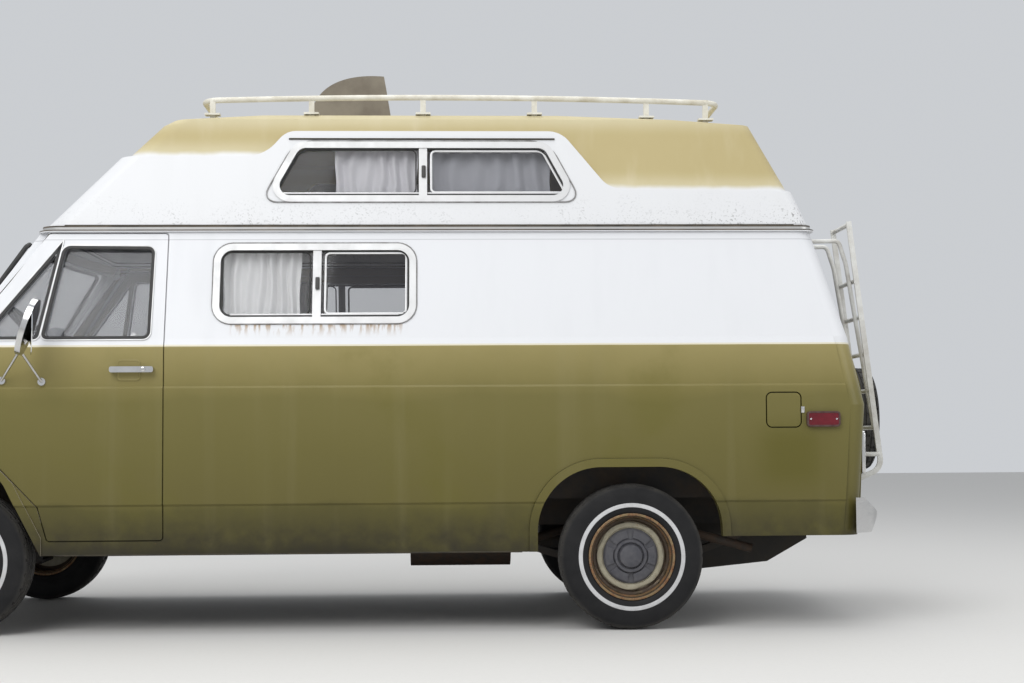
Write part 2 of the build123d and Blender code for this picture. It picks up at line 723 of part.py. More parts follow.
# Grille with its bars, and lamps
bar_count = 7
with BuildPart() as grille:
    grille_x = nose_x + 25
    (y0, z0), (y1, z1) = grille_box
    with BuildSketch(Plane.YZ.offset(grille_x)):
        with Locations((0, (z0 + z1) / 2)):
            RectangleRounded(y1 - y0 - 2, z1 - z0 - 2, 28)
            RectangleRounded(y1 - y0 - 40, z1 - z0 - 40, 10, mode=Mode.SUBTRACT)
    extrude(amount=30)
    with Locations(*[(grille_x + 15, 0, z0 + (z1 - z0) * (k + 1) / (bar_count + 1)) for k in range(bar_count)]):
        Box(22, y1 - y0 - 30, 12)
    with Locations(*[(grille_x + 20, y, (z0 + z1) / 2) for y in (-280, 0, 280)]):
        Box(12, 14, z1 - z0 - 30)
finish(grille.part, "grille")

with BuildPart() as head_lamps:
    with Locations(*[Location((nose_x + 40, y, lamp_z), (0, -90, 0)) for y in (-lamp_y, lamp_y)]):
        Cylinder(lamp_r, 70)
        with Locations((0, 0, 35)):
            Cone(lamp_r - 8, lamp_r - 45, 16, align=(Align.CENTER, Align.CENTER, Align.MIN))
finish(head_lamps.part, "head_lamps")

signal_size = (150, 62)
marker_size = (148, 62)
tail_lamp = (63, 190)
tail_lamp_y = 861
marker_at = (rear_axle_x + 914, 991)
with BuildPart() as signal_lamps:
    with BuildSketch(Plane.YZ.offset(nose_x + 60)):
        with Locations((-lamp_y, 672), (lamp_y, 672)):
            RectangleRounded(*signal_size, 12)
    extrude(amount=-90)
    add(outer, mode=Mode.SUBTRACT)
    for side in (-1, 1):
        with BuildPart() as marker:
            with BuildSketch(Plane((marker_at[0], side * (belt_w - 2), marker_at[1]), x_dir=(1, 0, 0),
                                   z_dir=(0, side, 0))):
                RectangleRounded(*marker_size, 10)
            extrude(amount=20)
            add(outer, mode=Mode.SUBTRACT)
        add(marker.part)
        with BuildPart() as tail:
            with BuildSketch(Plane.YZ.offset(tail_x - 60)):
                with Locations((side * tail_lamp_y, 830)):
                    RectangleRounded(*tail_lamp, 14)
            extrude(amount=68)
            add(outer, mode=Mode.SUBTRACT)
        add(tail.part)
finish(signal_lamps.part, "signal_lamps")

# Bumpers: hollow pressed bars with closed ends, on short brackets
bumper_t = 12
bumper_height = 166
bracket_y = 465
front_bumper_x = front_axle_x - front_overhang
rear_bumper_x = rear_axle_x + 1173


def bumper(face_x, body_x, low, reach, direction, half):
    """Bumper bar, ridged along its face; direction is +1 when it faces the rear."""
    top = low + bumper_height

    def bar_form(wall, back):
        section = outline_of([
            (back, top), (face_x - direction * 71, top), (face_x, top - 72),
            (face_x - direction * 41, low + 4), (back, low)])
        with BuildPart() as form:
            add(prism(section, Plane.XZ.offset(-half), 2 * half, -wall))
            with BuildSketch(Plane.XY.offset(low)):
                with Locations((face_x - direction * 400, 0)):
                    RectangleRounded(800 - 2 * wall, 2 * (half - wall), 60 - wall)
            extrude(amount=bumper_height, mode=Mode.INTERSECT)
        return form.part

    back = face_x - direction * reach
    with BuildPart() as bar:
        add(bar_form(0, back))
        add(bar_form(bumper_t, back - direction * 40), mode=Mode.SUBTRACT)
        with Locations(*[((face_x - direction * 20 + body_x) / 2, y, top - 72)
                         for y in (-bracket_y, bracket_y)]):
            Box(abs(face_x - body_x), 60, 60)
        add(body_form(-8), mode=Mode.SUBTRACT)
    return bar.part


with BuildPart() as bumpers:
    add(bumper(front_bumper_x, nose_x, 430, 210, -1, 1000))
    add(bumper(rear_bumper_x, tail_x - 20, 452, 113, 1, 1030))
finish(bumpers.part, "bumpers")

# Roof rack: one bent tube, bowed with the roof, on flat posts
rack_y = 668
rack_r = 14
rack_corner = 90
rack_front = (rear_axle_x - 2073, 2588)
rack_middle = (rear_axle_x - 800, 2603)
rack_rear = (rear_axle_x + 490, 2580)
post_size = (27, 10)
pad_size = (74, 50, 9)
pad_z = 2516
post_xs = [rear_axle_x + x for x in (-2025, -1538, -986, -432, 128, 425)]


def rack_bend(end, direction):
    """Start, middle and finish of the rail's round bend at one end of its left side."""
    x, z = end
    bend = rack_corner * math.sqrt(0.5)
    inner_x = x - direction * rack_corner
    return ((inner_x, -rack_y, z), (inner_x + direction * bend, rack_corner - bend - rack_y, z),
            (x, rack_corner - rack_y, z))


with BuildPart() as rack_rail:
    front_bend = rack_bend(rack_front, -1)
    rear_bend = rack_bend(rack_rear, 1)
    with BuildLine() as half_rail:
        Line((rack_front[0], 0, rack_front[1]), front_bend[2])
        ThreePointArc(*reversed(front_bend))
        ThreePointArc(front_bend[0], (rack_middle[0], -rack_y, rack_middle[1]), rear_bend[0])
        ThreePointArc(*rear_bend)
        Line(rear_bend[2], (rack_rear[0], 0, rack_rear[1]))
    with BuildSketch(Plane(half_rail.line @ 0, z_dir=half_rail.line % 0)):
        Circle(rack_r)
    sweep(path=half_rail.line)
    mirror(about=Plane.XZ)
with BuildPart() as posts:
    for y in (-rack_y, rack_y):
        for x in post_xs:
            with Locations((x, y, pad_z - 40)):
                Box(*post_size, rack_middle[1] - pad_z + 30, align=(Align.CENTER, Align.CENTER, Align.MIN))
            with Locations((x, y, roof_edge_z(x))):
                Box(*pad_size, align=(Align.CENTER, Align.CENTER, Align.MAX))
    add(high_top.part, mode=Mode.SUBTRACT)
    add(high_top_form(shell_t - 1), mode=Mode.SUBTRACT)
with BuildPart() as roof_rack:
    add(rack_rail.part)
    add(posts.part)
finish(roof_rack.part, "roof_rack")

# Roof vent: a curved hood open to the rear
vent_x = rear_axle_x - 1370
vent_base = 2533
vent_half = 190
vent_wall = 12
with BuildPart() as roof_vent:
    with BuildSketch(Plane.XZ):
        with BuildLine():
            Line((vent_x - 206, vent_base), (vent_x + 218, vent_base))
            Line((vent_x + 218, vent_base), (vent_x + 172, vent_base + 283))
            Spline((vent_x + 172, vent_base + 283), (vent_x + 50, vent_base + 283),
                   (vent_x - 106, vent_base + 236), (vent_x - 206, vent_base + 107))
            Line((vent_x - 206, vent_base + 107), (vent_x - 206, vent_base))
        make_face()
    extrude(amount=vent_half, both=True)
    with BuildSketch(Plane.YZ.offset(vent_x + 240)):
        with Locations((0, vent_base + 145)):
            RectangleRounded(2 * (vent_half - vent_wall), 235, 20)
    extrude(amount=-300, mode=Mode.SUBTRACT)
finish(roof_vent.part, "roof_vent")

# Fuel flap, hinged at its front edge
with BuildPart() as fuel_flap:
    add(side_prism(flap_outline, -1) & (outer - under_skin))
finish(fuel_flap.part, "fuel_flap")

# Floor plate, with a raised covering beside the sliding door
sheet_t = 20
floor_rear_x = tail_x - wall - 60
firewall_x = rear_axle_x - 3350
frame_top = floor_z - floor_thickness
cabin_w = 945
covering = (rear_axle_x - 2170, rear_axle_x - 700, -440, 900, 12)
housings = [
    # front end, rear end, inner side and top
    (rear_axle_x - 470, rear_axle_x + 445, 740, 815),
    (front_axle_x - 470, front_axle_x + 480, 560, 830),
]
engine_cover = (firewall_x + sheet_t / 2, rear_axle_x - 2620, 310, 1050)
with BuildPart() as floor_pan:
    with Locations(((firewall_x + floor_rear_x) / 2, 0, floor_z - floor_thickness / 2)):
        Box(floor_rear_x - firewall_x, 2 * cabin_w, floor_thickness)
    x0, x1, y0, y1, height = covering
    with Locations(((x0 + x1) / 2, (y0 + y1) / 2, floor_z + height / 2)):
        Box(x1 - x0, y1 - y0, height)
    for x0, x1, y0, top in housings:
        with Locations(*[((x0 + x1) / 2, side * (y0 + cabin_w), floor_z) for side in (-1, 1)]):
            Box(x1 - x0, 2 * cabin_w, 4 * floor_thickness, mode=Mode.SUBTRACT)
    x0, x1, half, top = engine_cover
    with Locations(((x0 + x1) / 2, 0, floor_z)):
        Box(x1 - x0, 2 * half, 4 * floor_thickness, mode=Mode.SUBTRACT)
    with Locations((firewall_x, 0, floor_z)):
        Box(sheet_t, 2 * cabin_w, 4 * floor_thickness, mode=Mode.SUBTRACT)
    add(inner, mode=Mode.INTERSECT)
finish(floor_pan.part, "floor_pan")

# Wheel housings: open boxes over the wheels
with BuildPart() as wheel_housings:
    for x0, x1, y0, top in housings:
        for side in (-1, 1):
            with Locations(((x0 + x1) / 2, side * (y0 + cabin_w) / 2, (frame_top + top) / 2)):
                Box(x1 - x0, cabin_w - y0, top - frame_top)
    for x0, x1, y0, top in housings:
        for side in (-1, 1):
            with Locations(((x0 + x1) / 2, side * (y0 + sheet_t + cabin_w + 60) / 2, (top - sheet_t) / 2)):
                Box(x1 - x0 - 2 * sheet_t, cabin_w + 60 - y0 - sheet_t, top - sheet_t, mode=Mode.SUBTRACT)
    add(inner, mode=Mode.INTERSECT)
finish(wheel_housings.part, "wheel_housings")

# Firewall, and the cover over the engine between the seats
with BuildPart() as firewall:
    x0, x1, half, top = engine_cover
    with Locations((firewall_x, 0, (frame_top + cowl_z - 20) / 2)):
        Box(sheet_t, 2 * cabin_w, cowl_z - 20 - frame_top)
    with Locations(((x0 + x1) / 2, 0, (frame_top + top) / 2)):
        Box(x1 - x0, 2 * half, top - frame_top)
    with Locations(((x0 + x1 - sheet_t) / 2 - 60, 0, (top - sheet_t) / 2)):
        Box(x1 - x0 - sheet_t + 120, 2 * half - 2 * sheet_t, top - sheet_t, mode=Mode.SUBTRACT)
    x0, x1, y0, top = housings[1]
    with Locations(*[((x0 + x1) / 2, side * (y0 + cabin_w), top / 2) for side in (-1, 1)]):
        Box(x1 - x0, 2 * cabin_w, top, mode=Mode.SUBTRACT)
    add(inner, mode=Mode.INTERSECT)
finish(firewall.part, "firewall")

# Chassis rails under the floor, and the cross-members between them
rail_y = 465
rail_size = (70, 140)
frame_front = nose_x + wall + 30
frame_rear = tail_x - wall - 60
cross_size = (80, 70)
cross_xs = [front_axle_x - 480, rear_axle_x - 2200, rear_axle_x - 1150, rear_axle_x - 420, rear_axle_x + 960]
with BuildPart() as chassis_rails:
    with Locations(*[((frame_front + frame_rear) / 2, y, frame_top - rail_size[1] / 2) for y in (-rail_y, rail_y)]):
        Box(frame_rear - frame_front, *rail_size)
finish(chassis_rails.part, "chassis_rails")
with BuildPart() as cross_members:
    with Locations(*[(x, 0, frame_top - 45) for x in cross_xs]):
        Box(cross_size[0], 2 * rail_y - rail_size[0], cross_size[1])
finish(cross_members.part, "cross_members")

# Engine, sump and gearbox, plain blocks under the cover
engine_low = 335
sump_top = 460
gearbox_size = (320, 260, 270)
gearbox_end_x = front_axle_x + 760
with BuildPart() as engine_block:
    with Locations((front_axle_x + 130, 0, sump_top)):
        Box(620, 480, 480, align=(Align.CENTER, Align.CENTER, Align.MIN))
    with Locations((front_axle_x + 20, 0, engine_low)):
        Box(320, 220, sump_top - engine_low, align=(Align.CENTER, Align.CENTER, Align.MIN))
    with Locations((gearbox_end_x, 0, engine_low - 5)):
        Box(*gearbox_size, align=(Align.MAX, Align.CENTER, Align.MIN))
finish(engine_block.part, "engine_block")

# Front suspension: cross-member, two posts and two pairs of arms
hub_z = tyre_r
arm_z = 105                 # arms above and below the hub
arm_t = 20
arm_foot_y = 470
member_top = engine_low
with BuildPart() as front_suspension:
    with Locations((front_axle_x, 0, member_top - 45)):
        Box(110, 2 * 500, 90)
    for side in (-1, 1):
        with Locations((front_axle_x, side * rail_y, (member_top + frame_top - rail_size[1]) / 2)):
            Box(110, 70, frame_top - rail_size[1] - member_top)
        for z in (hub_z - arm_z, hub_z + arm_z):
            with BuildSketch(Plane.XY.offset(z - arm_t / 2)):
                with BuildLine():
                    Polyline((front_axle_x - 55, side * arm_foot_y), (front_axle_x + 55, side * arm_foot_y),
                             (front_axle_x + 30, side * (kingpin_y + 20)),
                             (front_axle_x - 30, side * (kingpin_y + 20)), close=True)
                make_face()
                with Locations((front_axle_x, side * kingpin_y)):
                    Circle(steer_pin_r + 0.5, mode=Mode.SUBTRACT)
            extrude(amount=arm_t)
finish(front_suspension.part, "front_suspension")

# Steering knuckles: an upright on two pins, and the wheel's spindle
spindle_end = track_half + 20
post_r = 22
for name, side in sides.items():
    with BuildPart() as knuckle:
        with Locations((front_axle_x, side * kingpin_y, hub_z)):
            Cylinder(post_r, 2 * arm_z - arm_t - 4)
            Cylinder(steer_pin_r, 2 * arm_z)
        with BuildSketch(Plane((front_axle_x, side * kingpin_y, hub_z), x_dir=(1, 0, 0), z_dir=(0, side, 0))):
            Circle(spindle_r)
        extrude(amount=spindle_end - kingpin_y)
    finish(knuckle.part, f"knuckle_{name}")

# Rear axle with leaf springs and propeller shaft
spring_y = 575
spring_w = 60
spring_half = 640
spring_eye_z = 440
spring_low_z = 275
spring_t = 36
with BuildPart() as rear_axle:
    with Locations(Location((rear_axle_x, 0, hub_z), (90, 0, 0))):
        Cylinder(42, 2 * (track_half - 40))
        Cylinder(spindle_r, 2 * spindle_end)
    with Locations((rear_axle_x, 0, hub_z)):
        Sphere(120)
    with BuildSketch(Plane.YZ.offset(gearbox_end_x)):
        with Locations((0, hub_z + 20)):
            Circle(38)
    extrude(amount=rear_axle_x - 60 - gearbox_end_x)
    for side in (-1, 1):
        with BuildSketch(Plane.XZ.offset(-side * spring_y - spring_w / 2)):
            with BuildLine():
                near = rear_axle_x - spring_half
                far = rear_axle_x + spring_half
                ThreePointArc((near, spring_eye_z), (rear_axle_x, spring_low_z), (far, spring_eye_z))
                Line((far, spring_eye_z), (far, spring_eye_z + spring_t))
                ThreePointArc((far, spring_eye_z + spring_t), (rear_axle_x, spring_low_z + spring_t),
                              (near, spring_eye_z + spring_t))
                Line((near, spring_eye_z + spring_t), (near, spring_eye_z))
            make_face()
        extrude(amount=spring_w)
        with Locations(*[(x, side * spring_y, (spring_eye_z + frame_top) / 2) for x in (near, far)]):
            Box(50, spring_w, frame_top - spring_eye_z)
finish(rear_axle.part, "rear_axle")

# Fuel tank behind the axle
with BuildPart() as fuel_tank:
    with BuildSketch(Plane.XZ):
        with BuildLine():
            Polyline((rear_axle_x + 395, 239), (rear_axle_x + 755, 275), (rear_axle_x + 960, 390),
                     (rear_axle_x + 955, 470), (rear_axle_x + 395, 470), close=True)
        make_face()
    extrude(amount=400, both=True)
finish(fuel_tank.part, "fuel_tank")


def tube(points, radius):
    """Round bar through points, with a ball at each bend."""
    with BuildPart() as bar:
        for start, end in zip(points, points[1:]):
            run = Vector(*end) - Vector(*start)
            with BuildSketch(Plane(start, z_dir=run)):
                Circle(radius)
            extrude(amount=run.length)
        for bend in points[1:-1]:
            with Locations(bend):
                Sphere(radius)
    return bar.part


# Exhaust: front pipe, silencer and tailpipe over the axle
exhaust_y = -300
silencer_r = 95
silencer_z = 357
silencer = (rear_axle_x - 1060, rear_axle_x - 553)
with BuildPart() as exhaust:
    with BuildSketch(Plane.YZ.offset(silencer[0])):
        with Locations((exhaust_y, silencer_z)):
            Ellipse(120, silencer_r)
    extrude(amount=silencer[1] - silencer[0])
    add(tube([(silencer[1] - 5, exhaust_y, silencer_z), (rear_axle_x - 260, exhaust_y, 445),
              (rear_axle_x + 250, exhaust_y, 445), (rear_axle_x + 330, -690, 440),
              (rear_axle_x + 620, -700, 362)], 22))
    add(tube([(silencer[0] + 5, exhaust_y, silencer_z), (rear_axle_x - 2500, exhaust_y, 400),
              (rear_axle_x - 2780, -235, 500)], 22))
    add(engine_block.part, mode=Mode.SUBTRACT)
finish(exhaust.part, "exhaust")

# Wheels and tyres, turned about their axles; a runs outward from the middle of the tyre
spare_r = 285
spare_w = 180
spare_bead_r = 160


def rim_section(bead, width):
    """Outer half of a rim's section, from its inner flange round to the disc's edge."""
    half = width / 2
    return [(5 - half, bead + 10), (10 - half, bead + 10), (10 - half, bead), (half - 10, bead),
            (half - 10, bead + 10), (half - 5, bead + 10), (half - 5, bead - 10), (20, bead - 10)]


def tyre_section(radius, bead, width):
    """A tyre's section, from one bead over the tread to the other."""
    half = width / 2
    wall_points = [(half - 15, bead), (half - 12, bead + 12), (half, bead + 33), (half, radius - 60),
                   (half - 10, radius - 20), (half - 24, radius)]
    return [(-along, out) for along, out in wall_points] + wall_points[::-1]


hub_cover = [(20, 134), (30, 128), (36, 84), (46, 79), (46, 58), (58, 54), (62, 20), (62, 0),
             (40, 0), (40, hub_bore_r)]
rim_back = [(-20, hub_bore_r), (-20, 60), (10, 60), (10, bead_r - 10), (5 - tyre_w / 2, bead_r - 10)]
spare_hub = [(20, 30), (40, 30), (40, 0), (-20, 0), (-20, 60), (10, 60), (10, spare_bead_r - 10),
             (5 - spare_w / 2, spare_bead_r - 10)]


def turned(profile, centre, direction):
    """Solid turned about an axle through centre; profile points are (along, radius)."""
    plane = Plane(centre, x_dir=direction, z_dir=Vector(*direction).cross(Vector(0, 0, 1)))
    with BuildPart() as solid:
        with BuildSketch(plane):
            with BuildLine():
                Polyline(*profile, close=True)
            make_face()
        revolve(axis=Axis(centre, direction))
    return solid.part


axle_xs = {"front": front_axle_x, "rear": rear_axle_x}
for end, axle_x in axle_xs.items():
    for name, side in sides.items():
        centre = (axle_x, side * track_half, hub_z)
        finish(turned(rim_section(bead_r, tyre_w) + hub_cover + rim_back, centre, (0, side, 0)),
               f"wheel_{end}_{name}")
        finish(turned(tyre_section(tyre_r, bead_r, tyre_w), centre, (0, side, 0)), f"tyre_{end}_{name}")

# Smaller spare wheel on its bracket, behind the right rear door
spare_y = 372
spare_z = 1005
spare_at = (rear_axle_x + spare_reach - spare_w / 2, spare_y, spare_z)
with BuildPart() as spare_carrier:
    with BuildSketch(Plane.YZ.offset(tail_x - 30)):
        with Locations((spare_y, spare_z)):
            Circle(58)
    extrude(amount=spare_at[0] - 20 - tail_x + 30)
    with BuildSketch(Plane.YZ.offset(tail_x - 30)):
        with Locations((spare_y, spare_z)):
            RectangleRounded(300, 260, 20)
    extrude(amount=38)
    add(body_form(0), mode=Mode.SUBTRACT)
finish(spare_carrier.part, "spare_carrier")
finish(turned(rim_section(spare_bead_r, spare_w) + spare_hub, spare_at, (1, 0, 0)), "spare_wheel")
finish(turned(tyre_section(spare_r, spare_bead_r, spare_w), spare_at, (1, 0, 0)), "spare_tyre")

# Ladder on the left rear door: flat stringers, with round hooks over the door's top
ladder_ys = (-600, -264)
hook_ys = (-560, -304)
stringer = (26, 12)         # along the van, and across it
ladder_top = (rear_axle_x + 1156, 1990)
ladder_bend = (rear_axle_x + 1300, 745)
ladder_foot = (tail_x - 20, 668)
rung_zs = (1690, 1505, 1320, 1135, 950)
brace_z = 818
rung_r = 11


def on_rail(z):
    """X of the ladder's straight rails at height z."""
    share = (z - ladder_bend[1]) / (ladder_top[1] - ladder_bend[1])
    return ladder_bend[0] + share * (ladder_top[0] - ladder_bend[0])


with BuildPart() as ladder:
    for y in ladder_ys:
        with BuildSketch(Plane.XZ.offset(-y - stringer[1] / 2)):
            with BuildLine():
                FilletPolyline(ladder_top, ladder_bend, ladder_foot, radius=70)
            trace(line_width=stringer[0])
        extrude(amount=stringer[1])
        add(tube([(on_rail(brace_z), y, brace_z), (ladder_foot[0], y, brace_z)], rung_r))
    for y in hook_ys:
        with BuildPart() as hook:
            with BuildLine() as bend:
                FilletPolyline((rear_axle_x + 900, y, 1852), (rear_axle_x + 968, y, 1893),
                               (rear_axle_x + 1112, y, 1896), (rear_axle_x + 1148, y, 1780),
                               (on_rail(rung_zs[-1]), y, rung_zs[-1]), radius=30)
            with BuildSketch(Plane(bend.line @ 0, z_dir=bend.line % 0)):
                Circle(rung_r)
            sweep(path=bend.line)
        add(hook.part)
    for z in (ladder_top[1] - 15, *rung_zs):
        add(tube([(on_rail(z), ladder_ys[0], z), (on_rail(z), ladder_ys[1], z)], rung_r))
    add(body_form(0), mode=Mode.SUBTRACT)
finish(ladder.part, "ladder")

# Cab: dashboard with its column, steering wheel and seats
steer_at = (rear_axle_x - 2930, -480, 1450)
steer_r = 195
steer_lean = 45
column_axis = Vector(math.sin(math.radians(steer_lean)), 0, math.cos(math.radians(steer_lean)))
dash_back_x = rear_axle_x - 3045
dash_low, dash_high = 1100, 1335
dash_front_x = firewall_x + sheet_t / 2
column_gap = 30
with BuildPart() as dashboard:
    with BuildSketch(Plane.XZ):
        with BuildLine():
            Polyline((dash_front_x, dash_low + 60), (dash_back_x - 50, dash_low), (dash_back_x, dash_low + 90),
                     (dash_back_x, dash_high - 40), (dash_back_x - 50, dash_high), (dash_front_x, dash_high),
                     close=True)
        make_face()
    extrude(amount=870, both=True)
    with Locations((dash_back_x - 100, steer_at[1], dash_high)):
        Box(240, 340, 120)
    with BuildSketch(Plane(Vector(*steer_at) - column_axis * column_gap, z_dir=-column_axis)):
        Circle(30)
    extrude(amount=200)
    add(inner, mode=Mode.INTERSECT)
finish(dashboard.part, "dashboard")

with BuildPart() as steering_wheel:
    wheel_plane = Plane(steer_at, x_dir=(0, 1, 0), z_dir=column_axis)
    with BuildSketch(Plane(steer_at, x_dir=(0, 1, 0), z_dir=Vector(column_axis.Z, 0, -column_axis.X))):
        with Locations((steer_r - 12, 0)):
            Circle(12)
    revolve(axis=Axis(steer_at, column_axis))
    with BuildSketch(wheel_plane.offset(-column_gap + 5)):
        Circle(42)
    extrude(amount=55)
    with BuildSketch(wheel_plane.offset(-7)):
        with PolarLocations(0, 2):
            with Locations(((steer_r - 12) / 2, 0)):
                Rectangle(steer_r - 12, 34)
        with Locations((0, (steer_r - 12) / 2)):
            Rectangle(34, steer_r - 12)
    extrude(amount=12)
finish(steering_wheel.part, "steering_wheel")

seat_y = 560
seat_w = 400
cushion = (rear_axle_x - 2810, rear_axle_x - 2340, 900, 1030)
with BuildPart() as seats:
    for side in (-1, 1):
        x0, x1, low, high = cushion
        with Locations(((x0 + x1) / 2, side * seat_y, (low + high) / 2)):
            Box(x1 - x0, seat_w, high - low)
        with Locations((x1 - 180, side * seat_y, (floor_z + low) / 2)):
            Box(300, seat_w - 80, low - floor_z)
        with BuildSketch(Plane.XZ.offset(-side * seat_y - seat_w / 2)):
            with BuildLine():
                Polyline((x1 - 60, high), (x1 + 60, high), (x1 + 150, 1620), (x1 + 50, 1620), close=True)
            make_face()
        extrude(amount=seat_w)
        with Locations((x1, side * seat_y, high - 30)):
            Box(120, seat_w, 60)
finish(seats.part, "seats")

# Bed across the rear, on a board in front and two posts behind
bed_front_x, bed_rear_x = rear_axle_x - 650, rear_axle_x + 940
bed_half = 880
bed_low, bed_top = 860, 1000
with BuildPart() as bed:
    with Locations(((bed_front_x + bed_rear_x) / 2, 0, (bed_low + bed_top) / 2)):
        Box(bed_rear_x - bed_front_x, 2 * bed_half, bed_top - bed_low)
    with Locations((bed_front_x + 15, 0, (floor_z + bed_low) / 2)):
        Box(30, 1400, bed_low - floor_z)
    with Locations(*[(bed_rear_x - 30, y, (floor_z + bed_low) / 2) for y in (-720, 720)]):
        Box(60, 40, bed_low - floor_z)
finish(bed.part, "bed")

# Cabinet behind the driver, open towards the walkway
cabinet = (rear_axle_x - 1980, rear_axle_x - 900, -910, -460)
cabinet_top = 1420
board_t = 30
with BuildPart() as cabinet_box:
    x0, x1, y0, y1 = cabinet
    with Locations(((x0 + x1) / 2, (y0 + y1) / 2, (floor_z + cabinet_top) / 2)):
        Box(x1 - x0, y1 - y0, cabinet_top - floor_z)
        with Locations((0, board_t, 0)):
            Box(x1 - x0 - 2 * board_t, y1 - y0, cabinet_top - floor_z - 2 * board_t, mode=Mode.SUBTRACT)
finish(cabinet_box.part, "cabinet")
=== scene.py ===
import math
import bmesh
import bpy
from mathutils import Matrix, Vector


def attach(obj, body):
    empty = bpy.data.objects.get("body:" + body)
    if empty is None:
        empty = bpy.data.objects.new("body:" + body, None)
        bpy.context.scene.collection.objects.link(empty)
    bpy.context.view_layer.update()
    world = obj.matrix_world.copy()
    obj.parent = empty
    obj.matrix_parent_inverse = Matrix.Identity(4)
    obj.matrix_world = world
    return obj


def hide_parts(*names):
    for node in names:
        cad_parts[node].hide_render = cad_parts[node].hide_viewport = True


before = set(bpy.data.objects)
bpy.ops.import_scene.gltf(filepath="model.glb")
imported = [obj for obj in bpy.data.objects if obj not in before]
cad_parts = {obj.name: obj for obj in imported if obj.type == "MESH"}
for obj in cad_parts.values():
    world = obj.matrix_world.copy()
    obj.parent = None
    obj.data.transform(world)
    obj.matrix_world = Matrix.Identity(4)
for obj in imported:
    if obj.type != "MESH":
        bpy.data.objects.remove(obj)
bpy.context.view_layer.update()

rearAxle = 1.249        # fore and aft place of the rear axle, metres
frontAxle = -1.926
hubHeight = 0.345
hubSide = 0.875         # centreline to the middle of a tyre
floorTop = 0.642        # where seats and bed stand


# Picking up and shaping
def clearSelection():
    if bpy.context.object and bpy.context.object.mode != "OBJECT":
        bpy.ops.object.mode_set(mode="OBJECT")
    bpy.ops.object.select_all(action="DESELECT")


def takeUp(*pieces):
    clearSelection()
    for piece in pieces:
        piece.select_set(True)
    bpy.context.view_layer.objects.active = pieces[0]


def named(name, *finishes):
    piece = bpy.context.object
    piece.name = name
    piece.data.name = name
    for finish in finishes:
        piece.data.materials.append(finish)
    return piece


def settle(piece):
    takeUp(piece)
    bpy.ops.object.transform_apply(location=True, rotation=True, scale=True)
    return piece


def openMesh(piece):
    takeUp(piece)
    bpy.ops.object.mode_set(mode="EDIT")
    bpy.ops.mesh.select_mode(type="FACE")
    bpy.ops.mesh.select_all(action="SELECT")


def closeMesh():
    bpy.ops.object.mode_set(mode="OBJECT")


def pickFaces(test):
    # selects the faces whose centre and normal pass the test, in edit mode
    bpy.ops.mesh.select_all(action="DESELECT")
    mesh = bmesh.from_edit_mesh(bpy.context.object.data)
    for face in mesh.faces:
        if test(face.calc_center_median(), face.normal):
            face.select_set(True)
    bmesh.update_edit_mesh(bpy.context.object.data)


def modify(piece, kind, **settings):
    takeUp(piece)
    modifier = piece.modifiers.new(kind.title(), kind)
    for key, value in settings.items():
        setattr(modifier, key, value)
    bpy.ops.object.modifier_apply(modifier=modifier.name)
    return piece


def roundEdges(piece, width, segments=2, angle=30):
    return modify(piece, "BEVEL", width=width, segments=segments, limit_method="ANGLE",
                  angle_limit=math.radians(angle))


def smooth(piece, angle=35):
    takeUp(piece)
    bpy.ops.object.shade_smooth_by_angle(angle=math.radians(angle))
    return piece


def pointOut(piece):
    openMesh(piece)
    bpy.ops.mesh.normals_make_consistent(inside=False)
    closeMesh()
    return piece


def copied(piece, name, matrix):
    # a copy with its own mesh, moved by the matrix
    twin = piece.copy()
    twin.data = piece.data.copy()
    twin.name = name
    twin.data.name = name
    bpy.context.scene.collection.objects.link(twin)
    twin.data.transform(matrix)
    if matrix.determinant() < 0:
        twin.data.flip_normals()
    return twin


def joined(name, pieces):
    takeUp(*pieces)
    bpy.ops.object.join()
    piece = bpy.context.object
    piece.name = name
    piece.data.name = name
    return piece


def crossed(piece, name):
    # the same piece on the other side of the van
    return copied(piece, name, Matrix.Diagonal((1, -1, 1, 1)))


def block(name, low, high, finish, edge=0.004, segments=2):
    bpy.ops.mesh.primitive_cube_add(size=1, location=[(a + b) / 2 for a, b in zip(low, high)])
    piece = named(name, finish)
    piece.scale = [b - a for a, b in zip(low, high)]
    settle(piece)
    if edge:
        roundEdges(piece, edge, segments)
    return smooth(piece)


def rod(name, start, end, radius, finish, sides=20, edge=0.0):
    run = Vector(end) - Vector(start)
    bpy.ops.mesh.primitive_cylinder_add(vertices=sides, radius=radius, depth=run.length,
                                        location=(Vector(start) + Vector(end)) / 2)
    piece = named(name, finish)
    piece.rotation_mode = "QUATERNION"
    piece.rotation_quaternion = run.to_track_quat("Z", "Y")
    settle(piece)
    if edge:
        roundEdges(piece, edge, 2)
    return smooth(piece)


def plate(name, corners, radius, outward, finish, segments=6):
    # flat plate with rounded corners, facing outward
    bpy.ops.mesh.primitive_circle_add(vertices=len(corners), fill_type="NGON")
    piece = named(name, finish)
    for vertex, corner in zip(piece.data.vertices, corners):
        vertex.co = corner
    openMesh(piece)
    if radius:
        bpy.ops.mesh.bevel(offset=radius, segments=segments, affect="VERTICES")
    closeMesh()
    if piece.data.polygons[0].normal.dot(Vector(outward)) < 0:
        openMesh(piece)
        bpy.ops.mesh.flip_normals()
        closeMesh()
    return piece


def ring(name, corners, radius, width, depth, outward, finish, edge=0.0012):
    # a rounded outline's rim: width inward from the outline, depth outward from its plane
    piece = plate(name, corners, radius, outward, finish)
    openMesh(piece)
    bpy.ops.mesh.inset(thickness=width, depth=0)
    bpy.ops.mesh.delete(type="FACE")
    closeMesh()
    modify(piece, "SOLIDIFY", thickness=depth, offset=1)
    if edge:
        roundEdges(piece, edge, 2)
    return smooth(piece)


